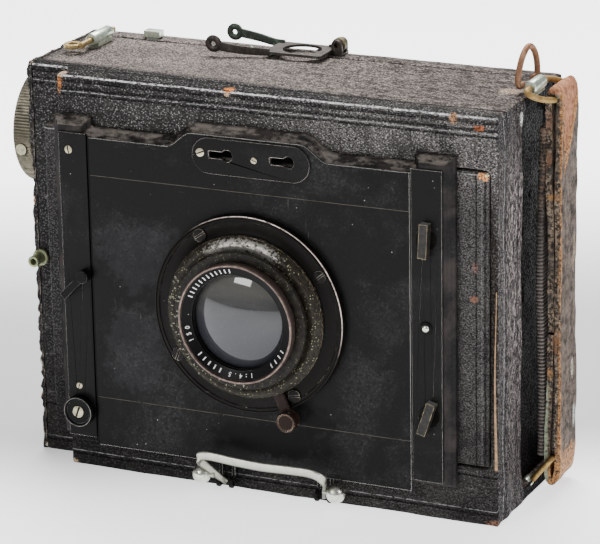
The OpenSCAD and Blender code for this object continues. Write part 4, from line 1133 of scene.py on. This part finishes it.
# the focusing arm hangs down, 23.7 degrees to the right
arm_angle = math.radians(-90 + 23.7)
arm_out = np.array([math.cos(arm_angle), 0, math.sin(arm_angle)])
arm_side = np.array([-arm_out[2], 0, arm_out[0]])
hub = np.array([0, 0, LENS_Z])
arm_path = [hub + arm_out * r + np.array([0, -t, 0])
    for r, t in ((26.6, 39.9), (29.5, 39.85), (33, 39.7), (36, 39.5), (38.6, 39.4))]
sweep("focusing_arm", arm_path, flat_section(1.3, 4.0, 0.35), button_black, "focus_ring",
    up=tuple(arm_side), sharp=40)
turn("focusing_button", [(0.01, 38.75), (3.2, 38.75), (3.55, 39.1), (3.6, 42.6), (3.45, 43.0),
        (3.2, 43.15), (2.9, 43.1), (2.75, 42.9), (0.01, 42.8)], hub + arm_out * 38.3, FORWARD,
    button_black, "focus_ring", 72, wave=milled(36, 0.05, 3.5), sharp=40)
rim_t = front_of["front_rim"]
ring(
    "front_rim_ring",
    [(20.65, 45.5), (20.9, 45.6), (21.0, 45.9), (21.0, rim_t - 0.35), (20.85, rim_t - 0.1), (20.6, rim_t),
     (20.3, rim_t - 0.08), (20.15, rim_t - 0.4), (20.1, 46.6), (20.3, 45.5)],
    rim_bronze, "front_rim", segments=200, stands_for="front_rim", slot="worn_bronze", sharp=50,
)
ring("inner_ring", [(20.12, 46.4), (20.14, 48.3), (20.0, 48.35), (17.3, 47.15), (16.9, 46.95),
        (16.75, 46.6), (16.75, 45.7), (18.5, 45.6)], lens_black, "front_rim", segments=200, sharp=40)


def sphere_cap(radius, curve, at):
    """Points of a glass surface from its axis to its edge; curve is its radius, positive where it
    bulges forwards."""
    out = []
    count = 18
    for i in range(count + 1):
        r = 0.01 + (radius - 0.01) * i / count
        sag = abs(curve) - math.sqrt(curve * curve - r * r)
        out.append((r, at - math.copysign(sag, curve)))
    return out


ring("front_element", sphere_cap(16.7, 34, 48.6) + sphere_cap(16.7, 300, 43.2)[::-1], front_glass_look,
    "lens_glass", segments=96, sharp=50, stands_for="lens_glass", slot="lens_glass")
ring("middle_element", sphere_cap(14.9, -30, 38.6) + sphere_cap(14.9, 60, 36.6)[::-1],
    inner_glass_look, "lens_glass", segments=96, sharp=50, slot="lens_glass")
ring("rear_element", sphere_cap(14.0, -90, 31.8) + sphere_cap(14.0, -38, 27.2)[::-1], lens_glass_look,
    "lens_glass", segments=96, sharp=50, slot="lens_glass")
for number, (r, t) in enumerate(((15.6, 42.6), (14.9, 41.5), (13.9, 36.4), (13.4, 34.6))):
    ring(f"barrel_step_{number}",
        [(r, t), (16.7, t), (16.7, t - 0.5), (r, t - 0.5), (r - 0.12, t - 0.25)], lens_black,
        "lens_barrel", segments=120)


def engrave(name, text, angle, radius, forward, size, look, node, spread, tip=0.0):
    """Numbers laid round the lens, one by one, reading clockwise from the angle (0 is to the right)."""
    verts, faces = [], []
    step = math.radians(spread)
    for i, letter in enumerate(text):
        if letter == " ":
            continue
        curve = bpy.data.curves.new("letter", "FONT")
        curve.body = letter
        curve.size = size
        curve.align_x = "CENTER"
        curve.align_y = "CENTER"
        curve.extrude = 0.03
        curve.offset = 0.018 * size
        holder = bpy.data.objects.new("letter", curve)
        mesh = bpy.data.meshes.new_from_object(holder)
        a = math.radians(angle) - step * i
        out = np.array([math.cos(a), 0, math.sin(a)])
        over = np.array([math.sin(a), 0, -math.cos(a)])
        base = len(verts)
        for v in mesh.vertices:
            lift = tip * v.co.y
            verts.append(hub + out * (radius + v.co.y) + over * v.co.x
                + np.array([0, -(forward + lift + v.co.z), 0]))
        faces += [tuple(base + k for k in p.vertices) for p in mesh.polygons]
        bpy.data.objects.remove(holder)
        bpy.data.curves.remove(curve)
        bpy.data.meshes.remove(mesh)
    return piece(name, verts, faces, look, node, smooth=False)


def ticks(name, angles, r0, r1, forward, width, look, node, tip=0.0):
    """Engraved strokes across a ring between two radii."""
    points, faces = [], []
    block = ((0, 1, 2, 3), (4, 7, 6, 5), (0, 4, 5, 1), (1, 5, 6, 2), (2, 6, 7, 3), (3, 7, 4, 0))
    for angle in angles:
        a = math.radians(angle)
        out = np.array([math.cos(a), 0, math.sin(a)])
        over = np.array([math.sin(a), 0, -math.cos(a)]) * width / 2
        base = len(points)
        for lift in (0.0, 0.04):
            for r, k in ((r0, -1), (r0, 1), (r1, 1), (r1, -1)):
                points.append(hub + out * r + over * k + np.array([0, -(forward + tip * (r - r0) + lift), 0]))
        faces += [tuple(base + i for i in f) for f in block]
    return piece(name, points, faces, look, node, smooth=False)


cone = (48.35 - 47.15) / (20.0 - 17.3)  # how steeply the inner ring's face rises outwards
RIM_TEXT = (18.45, 47.68, 2.0)  # radius, distance forward, size
engrave("rim_numbers_aperture", "1:4.5", 287, *RIM_TEXT, paint, "front_rim", 6.4, cone)
engrave("rim_numbers_length", "150", 205, *RIM_TEXT, paint, "front_rim", 7.0, cone)
ticks("rim_marks", [96 + 5.4 * i for i in range(12)] + [222, 229, 236, 243, 250, 314, 321, 328, 335],
    17.7, 19.2, 47.35, 0.42, paint, "front_rim", cone)
aperture_t = front_of["aperture_ring"]
for text, angle in (("4.5", 264), ("6.3", 241), ("9", 222), ("12", 205), ("18", 190), ("25", 176),
        ("36", 163)):
    engrave("aperture_" + text.replace(".", "_"), text, angle + 3 * len(text), 22.75,
        aperture_t + 0.01, 1.7, worn_paint, "aperture_ring", 4.2)
ticks("aperture_marks", [257, 234, 216, 198, 183, 169, 156], 23.6, 24.3, aperture_t, 0.25, worn_paint,
    "aperture_ring")
for text, angle in (("2", 232), ("3", 210), ("5", 192), ("10", 174), ("20", 158)):
    engrave("distance_" + text, text, angle, 27.3, focus_t - 0.35, 1.5, worn_paint, "focus_ring", 3.6, -0.75)
ticks("distance_marks", [225 - 7 * i for i in range(11)], 25.7, 26.5, focus_t, 0.22, worn_paint, "focus_ring")

# The knob that locks the panel: a dished disc round a slotted nickel screw
lock_x, lock_z = ((mm_box("lock_knob")[0][i] + mm_box("lock_knob")[1][i]) / 2 for i in (0, 2))
turn("lock_disc", [(0.01, 30.2), (1.15, 30.2), (1.15, 35.8), (5.3, 35.8), (5.5, 36.1), (5.5, 38.4),
        (5.25, 38.7), (4.9, 38.7), (4.6, 38.5), (4.4, 38.0), (0.01, 37.9)], (lock_x, 0, lock_z),
    FORWARD, lens_black, "lock_knob", 144, wave=milled(48, 0.06, 5.4), stands_for="lock_knob", sharp=40)
turn("lock_disc_edge", [(4.95, 38.62), (5.15, 38.8), (5.35, 38.62), (5.15, 38.45)],
    (lock_x, 0, lock_z), FORWARD, steel_top, "lock_knob", 96)
slotted_screw("lock_screw", lock_x, lock_z, -37.9, 2.1, 0.8, 70, screw_metal, "lock_knob")

# Small round-headed stud between the two right-hand latches
turn(
    "rail_stud",
    [(0.01, 0.3), (1.25, 0.3), (1.35, 0.6), (1.2, 1.0), (0.85, 1.3), (0.45, 1.45), (0.01, 1.5)],
    (63.8, rail_front, 69.9), FORWARD, pearl, "front_screws", 48,
)
turn("rail_stud_collar", [(0.01, 0.0), (2.3, 0.0), (2.2, 0.35), (1.8, 0.5), (1.4, 0.4), (0.01, 0.4)],
    (63.8, rail_front, 69.9), FORWARD, lens_black, "front_screws", 48)
for name, x, z in (("latch_boss_upper", 64.0, 100.8), ("latch_boss_lower", 64.7, 38.7)):
    turn(name, [(0.01, 0.0), (4.0, 0.0), (4.0, 0.2), (3.8, 0.38), (3.5, 0.25), (0.01, 0.25)],
        (x, rail_front, z), FORWARD, flange_look, "front", 64, sharp=40)

# Bail: a flat strap bent back at both ends, with a ball riveted to each leg
bail_path = smooth_path([(-12.5, -32.8, 3.0), (-14.2, -35.8, 6.2), (-16.6, -39.8, 10.8),
        (-17.8, -42.2, 13.6), (-17.0, -43.4, 15.6), (-14.0, -43.9, 16.4), (-9.5, -43.9, 16.2),
        (-4, -43.8, 15.7), (6, -43.7, 15.2), (16, -43.8, 15.5), (23.5, -43.9, 15.6),
        (27.4, -43.5, 14.6), (28.8, -42.0, 12.4), (27.6, -39.0, 9.4), (25.8, -35.4, 5.6),
        (24.6, -32.8, 3.0)], 16)
sweep("bail_strap", bail_path, flat_section(1.3, 3.0, 0.6), bail_look, "bail",
    scale=lambda t: (1.0, 0.62 + 0.38 * min(1, 6 * t, 6 * (1 - t))), stands_for="bail", slot="nickel",
    sharp=50)
ball = [(3.3 * math.cos(a), 3.3 * math.sin(a)) for a in np.linspace(-1.35, 1.25, 22)]
ball = [(0.01, -3.3)] + ball + [(0.9, 3.25), (0.01, 3.3)]
for name, x, side in (("bail_ball_left", -19.0, -1), ("bail_ball_right", 31.3, 1)):
    turn(name, ball, (x, -38.0, 7.0), (side, 0, 0), pearl, "bail_balls", 48, stands_for="bail_balls")
    turn(name + "_stem", [(0.01, 0), (0.9, 0), (0.9, 4.6), (0.01, 4.6)], (x, -38.0, 7.0),
        (-side, 0, 0), bail_look, "bail", 24)

# Wire ring of the carrying strap and the wires of the handle
ring_path = smooth_path(
    [(83.4, 2.6, 145.4), (83.2, -0.4, 145.5), (83.0, -1.2, 147.0), (83.1, -0.6, 150.5), (83.3, 1.6, 154.4),
     (83.5, 5.0, 156.9), (83.6, 8.4, 157.2), (83.7, 11.8, 155.2), (83.8, 14.2, 151.6), (83.8, 15.0, 147.8),
     (83.7, 14.6, 145.6), (83.4, 11.2, 145.4)],
    8,
)
sweep("strap_ring_wire", ring_path, round_section(1.05, 16), rust, "strap_ring", up=(1, 0, 0),
    stands_for="strap_ring", slot="rusty_steel")
upper_wire = smooth_path(
    [(87.4, -2.5, 145.6), (87.6, -4.9, 145.2), (88.8, -4.6, 143.9), (90.6, 0.4, 141.6), (92.6, 5.4, 140.2),
     (93.2, 9.0, 139.9), (93.3, 15.0, 139.9), (93.1, 20.5, 140.3), (91.8, 22.4, 141.6), (89.6, 17.5, 143.9),
     (87.7, 12.6, 145.3), (87.4, 9.5, 145.6)],
    8,
)
sweep("handle_wire_upper", upper_wire, round_section(1.05, 14), rusty_brass, "handle_wires",
    up=(0.3, 0, 1), stands_for="handle_wires", slot="brass_fittings")
lower_wire = smooth_path([(84.6, 6.4, 3.2), (86.2, 4.8, 4.2), (89.6, 4.6, 8.4), (92.4, 6.2, 11.8),
        (93.3, 9.5, 12.4), (93.3, 16, 12.0), (92.8, 21.5, 11.2), (90.5, 24.2, 8.6), (87.2, 24.4, 5.4),
        (84.6, 22.5, 4.0)], 8)
sweep("handle_wire_lower", lower_wire, round_section(1.05, 14), rusty_brass, "handle_wires", up=(0.3, 0, 1))
turn("lower_wire_barrel", [(0.01, 0), (1.9, 0), (2.1, 0.3), (2.1, 4.2), (1.8, 4.6), (1.1, 4.6),
        (1.1, 4.0), (0.01, 4.0)], (84.8, 2.0, 3.4), (0, 1, 0), nickel_green, "root", 32, sharp=40)

# Barrels on the box's top: the strap ring hangs in the right one, an eyelet in the left one
barrel = [(1.2, 0.0), (1.8, 0.0), (2.15, 0.35), (2.15, 0.8), (2.3, 1.1)]
left_x, left_z = -78.0, 146.0
left_profile = barrel + [(2.3, 13.2), (2.1, 13.6), (2.0, 14.0), (0.01, 14.0), (0.01, 0.6), (1.2, 0.6)]
turn("barrel_left", left_profile, (left_x, 3.2, left_z), (0, 1, 0), nickel_green, "strap_barrels", 40,
    sharp=40, stands_for="strap_barrels", slot="nickel")
right_profile = barrel + [(2.3, 10.2), (2.15, 10.6), (1.6, 11.0), (0.01, 11.0), (0.01, 0.6), (1.2, 0.6)]
turn("barrel_right", right_profile, (87.4, -1.6, 145.5), (0, 1, 0), nickel_green, "strap_barrels", 40,
    sharp=40)
for name, x, y0, y1, z, wide in (("barrel_left_foot", left_x, 5.0, 15.5, left_z, 4.2),
        ("barrel_right_foot", 87.4, 0.0, 8.5, 145.5, 3.0)):
    sweep(name, [(x, y, z - 1.9) for y in np.linspace(y0, y1, 6)], flat_section(wide, 2.4, 0.6),
        nickel_green, "strap_barrels", up=(0, 0, 1), sharp=40)

# Handle: one leather strap folded over both wires, and a ribbed welt behind it
strap_low, strap_high = mm_box("handle_strap")
strap_y = (strap_low.y + strap_high.y) / 2
strap_w = strap_high.y - strap_low.y
fold = smooth_path([(92.0, 0, 58), (91.9, 0, 80), (91.7, 0, 100), (91.2, 0, 112), (90.95, 0, 124),
        (90.95, 0, 135), (91.2, 0, 140.5), (92.6, 0, 143.3), (94.1, 0, 141.6), (94.7, 0, 136),
        (94.5, 0, 120), (94.2, 0, 103), (94.5, 0, 84), (94.3, 0, 62), (94.6, 0, 40), (94.7, 0, 22),
        (94.7, 0, 12), (93.9, 0, 5.4), (92.2, 0, 3.4), (90.95, 0, 6.6), (90.95, 0, 16), (91.5, 0, 34),
        (92.0, 0, 57)], 14)
core = smooth_path([(92.9, 0, 12), (93.0, 0, 40), (93.1, 0, 80), (93.0, 0, 104), (92.8, 0, 137)], 20)
outline = []
width_steps = 26
for i in range(width_steps + 1):
    outline.append((-1.05, strap_w * (i / width_steps - 0.5) * 0.985))
for i in range(width_steps + 1):
    outline.append((1.05, strap_w * (0.5 - i / width_steps) * 0.985))
handle = sweep("handle_leather", [(x, strap_y, z) for x, _, z in fold], outline, strap_leather,
    "handle_strap", up=(0, 1, 0), stands_for="handle_strap", slot="handle_leather", sharp=45)


def rumple(obj, size, amount, seed, keep_x):
    """Moves the points of a soft piece by smooth noise."""
    co = read(obj.data, "co") / MM
    for axis, share in enumerate((0.5, 1.0, 0.6)):
        co[:, axis] += value_noise(co, size, seed + axis) * amount * share
        co[:, axis] += value_noise(co, size * 0.3, seed + 5 + axis) * amount * 0.3 * share
    co[:, 0] = np.clip(co[:, 0], *keep_x)
    place(obj.data, co)


rumple(handle, 6.0, 0.55, 40, (89.0, strap_high.x))
sweep("handle_core", [(x, strap_y + 0.6, z) for x, _, z in core], flat_section(2.6, strap_w - 3.0, 0.6),
      welt_look, "handle_strap", up=(0, 1, 0), scale=lambda t: (1.0 if t < 0.7 else 0.35, 1.0))
lining_low, lining_high = mm_box("handle_lining")
welt_path = [((lining_low.x + lining_high.x) / 2 + 0.5 * math.sin(z / 17), strap_y - 3.0, z)
    for z in np.arange(lining_low.z, lining_high.z + 0.1, 0.35)]


def ribbed(t):
    """The welt's size at the share t of its height: it swells at each rib."""
    height = lining_low.z + t * (lining_high.z - lining_low.z)
    swell = 1 + 0.06 * math.sin(height * 2 * math.pi / WELT_RIB)
    return swell, swell


sweep("handle_welt", welt_path, flat_section(2.6, 9.5, 1.1, 5), welt_look, "handle_lining",
    up=(0, 1, 0), scale=ribbed, stands_for="handle_lining", slot="handle_leather")

# Bellows: a pleated tube between the box and the front
bellows_low, bellows_high = mm_box("bellows")


def bellows_mesh():
    """Folded cloth tube between the box and the front."""
    pleats, per_side = 13, 12
    inner, grow = 4.5, 3.6
    x0, x1 = bellows_low.x + inner, bellows_high.x - inner
    z0, z1 = bellows_low.z + inner, bellows_high.z - inner
    points = []
    rings = pleats * 2 + 1
    for i in range(rings):
        y = bellows_high.y + (bellows_low.y - bellows_high.y) * i / (rings - 1)
        g = grow if i % 2 else -grow * 0.4
        corners = [(x0 - g, z0 - g), (x1 + g, z0 - g), (x1 + g, z1 + g), (x0 - g, z1 + g)]
        for c in range(4):
            (ax, az), (bx, bz) = corners[c], corners[(c + 1) % 4]
            for k in range(per_side):
                t = k / per_side
                cut = 1.2 if k == 0 else 0
                px, pz = ax + (bx - ax) * t, az + (bz - az) * t
                if cut:
                    px += math.copysign(cut, (x0 + x1) / 2 - px)
                    pz += math.copysign(cut, (z0 + z1) / 2 - pz)
                points.append((px, y, pz))
    mesh = bpy.data.meshes.new("bellows_folds")
    mesh.from_pydata([tuple(np.array(p) * MM) for p in points], [], tube_faces(rings, 4 * per_side))
    obj = bpy.data.objects.new("bellows_folds", mesh)
    bpy.context.scene.collection.objects.link(obj)
    mesh.materials.append(bellows_cloth)
    thick = obj.modifiers.new("cloth", "SOLIDIFY")
    thick.thickness = 0.35 * MM
    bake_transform(obj)
    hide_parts("bellows")


bellows_mesh()

# Winding knob with a milled edge
knob_low, knob_high = mm_box("winding_knob")
knob_r = (knob_high.z - knob_low.z) / 2
knob_y, knob_z = (knob_low.y + knob_high.y) / 2, (knob_low.z + knob_high.z) / 2
knob_t = knob_high.x - knob_low.x
turn("knob_disc", [(3.1, 0.0), (knob_r - 0.9, 0.0), (knob_r - 0.2, 0.5), (knob_r, 1.0),
        (knob_r, knob_t - 1.2), (knob_r - 0.3, knob_t - 0.6), (knob_r - 1.0, knob_t - 0.1),
        (knob_r - 2.0, knob_t), (knob_r - 4.0, knob_t), (knob_r - 4.8, knob_t - 0.5),
        (knob_r - 5.2, knob_t - 1.2), (6.5, knob_t - 1.4), (5.5, knob_t - 0.9), (3.1, knob_t - 0.9)],
    (knob_high.x, knob_y, knob_z), (-1, 0, 0), knob_metal, "winding_knob", 480,
    wave=milled(120, 0.22, knob_r - 0.4), stands_for="winding_knob", slot="knob_metal", sharp=50)


def finder():
    """The folded finder: a plate with a round window, and two eyed arms bent up from it."""
    low = mm_box("finder_fork")[0]
    rim, window = [], []
    count = 64
    cx, cy, r = -4.6, 20.4, 6.3
    x0, x1, y0, y1 = -16.0, 5.4, 12.8, 28.0
    for i in range(count):
        a = 2 * math.pi * i / count
        c, s_ = math.cos(a), math.sin(a)
        window.append((cx + r * 1.12 * c, cy + r * s_))
        scale = min(abs((x1 if c > 0 else x0) - cx) / max(abs(c), 1e-6),
            abs((y1 if s_ > 0 else y0) - cy) / max(abs(s_), 1e-6))
        rim.append((cx + scale * c, cy + scale * s_))
    points, faces = [], []
    for z in (low.z + 0.1, low.z + 1.0):
        points += [(x, y, z) for x, y in rim] + [(x, y, z) for x, y in window]
    for i in range(count):
        j = (i + 1) % count
        faces.append((i, j, count + j, count + i))
        faces.append((2 * count + i, 2 * count + j, 3 * count + j, 3 * count + i))
        faces.append((i, j, 2 * count + j, 2 * count + i))
        faces.append((count + i, count + j, 3 * count + j, 3 * count + i))
    mend(piece("finder_plate", points, faces, oxidised, "finder_fork", stands_for="finder_fork",
            slot="worn_bronze", sharp=30))
    for name, y, look, tall, root_y in (("near", 9.6, oxidised, 0.0, 13.6),
            ("far", 27.2, verdigris_dark, 0.6, 26.6)):
        arm = smooth_path([(-14.0, root_y, low.z + 0.7), (-18, root_y * 0.8 + y * 0.2, low.z + 0.8),
                (-24, root_y * 0.35 + y * 0.65, low.z + 1.3 + tall), (-31.5, y, low.z + 2.3 + tall)], 6)
        sweep(f"finder_arm_{name}", arm, flat_section(0.9, 3.2, 0.2), look, "finder_fork", up=(0, 0, 1),
              scale=lambda t: (1.0, 0.75 + 0.25 * t), sharp=50)
        turn(f"finder_eye_{name}", [(0.95, -0.5), (1.9, -0.55), (2.9, -0.5), (3.05, 0.0), (2.9, 0.5),
                (1.9, 0.55), (0.95, 0.5), (0.85, 0.0)], (-33.4, y, 147.3), (0, 1, 0), look,
            "finder_fork", 48)
    turn("finder_ear", [(0.01, -1.3), (2.2, -1.3), (2.5, -1.0), (2.5, 1.0), (2.2, 1.3), (0.01, 1.3)],
        (6.8, 26.6, 146.4), (0, 1, 0), brass_dark, "finder_fork", 40, sharp=40)
    neck = smooth_path([(3.0, 26.6, low.z + 0.6), (4.6, 26.6, low.z + 0.9), (6.4, 26.6, low.z + 2.0)], 6)
    sweep("finder_neck", neck, flat_section(2.4, 0.9, 0.2), oxidised, "finder_fork", up=(0, 1, 0), sharp=50)
    turn("finder_glint", [(0.01, -0.6), (1.1, -0.6), (1.3, -0.4), (1.3, 0.4), (1.1, 0.6), (0.01, 0.6)],
        (-20.5, 12.9, low.z + 1.2), (0.2, -1, 0.2), nickel, "finder_fork", 32, sharp=40)


finder()

# Bare wood where the leather has split along the front right edge of the box
splinter = [(86.3 + 0.25 * math.sin(z / 11), lip - 0.05, z) for z in np.arange(20.5, 84.0, 1.5)]
sweep("bare_edge", splinter, flat_section(0.5, 0.95, 0.15), raw_wood, "root", up=(1, 0, 0),
    scale=lambda t: (1.0, max(0.15, 1.0 - t)))

# ---------------------------------------------------------------- camera, lights and floor

# millimetres; the camera stands DISTANCE from the point AIM, which it looks at
FOCAL_LENGTH = 202.026
AIM = Vector((15.88, lip, 82.05))
DISTANCE = 1132.8


def place_camera():
    """The photograph's viewpoint, fitted to the box's corners and the lens."""
    azimuth, elevation, roll = (math.radians(a) for a in (24.429, 18.289, -1.034))
    level = Vector((math.cos(azimuth), math.sin(azimuth), 0))
    ahead = Vector((math.sin(azimuth), -math.cos(azimuth), 0))
    away = ahead * math.cos(elevation) + Vector((0, 0, math.sin(elevation)))
    upright = away.cross(level)
    across = level * math.cos(roll) + upright * math.sin(roll)
    up = upright * math.cos(roll) - level * math.sin(roll)
    data = bpy.data.cameras.new("camera")
    data.sensor_width = 36.0
    data.lens = FOCAL_LENGTH
    data.clip_end = 20
    obj = bpy.data.objects.new("camera", data)
    bpy.context.scene.collection.objects.link(obj)
    obj.matrix_world = Matrix((across, up, away)).transposed().to_4x4()
    obj.location = (AIM + away * DISTANCE) * MM
    bpy.context.scene.camera = obj


place_camera()


def lamp(name, at, aim, size, power, color=(1, 1, 1)):
    """A rectangular lamp, in metres and watts."""
    data = bpy.data.lights.new(name, "AREA")
    data.shape = "RECTANGLE"
    data.size, data.size_y = size
    data.energy = power
    data.color = color
    obj = bpy.data.objects.new(name, data)
    bpy.context.scene.collection.objects.link(obj)
    obj.location = at
    obj.rotation_euler = (Vector(aim) - Vector(at)).to_track_quat("-Z", "Y").to_euler()


lamp("softbox_top", (-0.15, 0.45, 0.95), (0, 0, 0.08), (0.7, 0.45), 18.0)
lamp("softbox_front", (-0.42, -1.16, 0.78), (0, 0, 0.07), (0.52, 0.26), 8.5, (1.0, 0.99, 0.98))
lamp("softbox_right", (1.0, -0.15, 0.7), (0, 0, 0.06), (0.45, 0.5), 3.6, (0.98, 0.99, 1.0))
lamp("paper_light", (-0.2, 0.9, 1.2), (-0.3, 0.9, 0.0), (1.6, 0.9), 14.0)

world = bpy.data.worlds.new("studio")
world.use_nodes = True
sky = world.node_tree.nodes["Background"].inputs
sky["Color"].default_value = (0.86, 0.87, 0.9, 1)
sky["Strength"].default_value = 0.3
bpy.context.scene.world = world


def pale_floor():
    """A large flat sheet of pale paper that glows, more with distance from the camera, crossed near the box
    by a band of painted shade that is darker to the left.
    """
    reach = 4.0
    corners = [(-reach, -reach, 0), (reach, -reach, 0), (reach, reach, 0), (-reach, reach, 0)]
    mesh = bpy.data.meshes.new("paper_floor")
    mesh.from_pydata(corners, [], [(0, 1, 2, 3)])
    obj = bpy.data.objects.new("paper_floor", mesh)
    bpy.context.scene.collection.objects.link(obj)
    s = Shade("paper")
    depth_in = s.calc("ADD", s.both(s.y, 0.91), s.both(s.x, -0.41))
    aside = s.calc("ADD", s.both(s.x, 0.91), s.both(s.y, 0.41))
    # painted shade: a darker band across the paper from just in front of the box to about 0.4 m behind it,
    # darker to the left
    painted_shade_band = s.both(s.step(depth_in, 400.0, 140.0), s.step(depth_in, -50.0, 40.0))
    s.color = s.mix(s.noise(160.0, 3.0), (0.84, 0.845, 0.855), (0.88, 0.885, 0.89))
    shade = s.mix(s.step(aside, -100.0, 110.0), (0.42, 0.425, 0.435), (0.5, 0.495, 0.5))
    s.paint(painted_shade_band, shade)
    # painted light: the paper glows, more with distance from the camera and less in the band of painted shade
    glow = s.step(depth_in, -20.0, 420.0, (1.8, 2.5))
    glow = s.both(glow, s.scaled(painted_shade_band, -0.85, 1.0))
    s.raise_by(s.noise(0.9, 3.0), 0.02)
    obj.data.materials.append(s.finish(0.75, Emission_Color=(0.93, 0.94, 0.96), Emission_Strength=glow))


pale_floor()
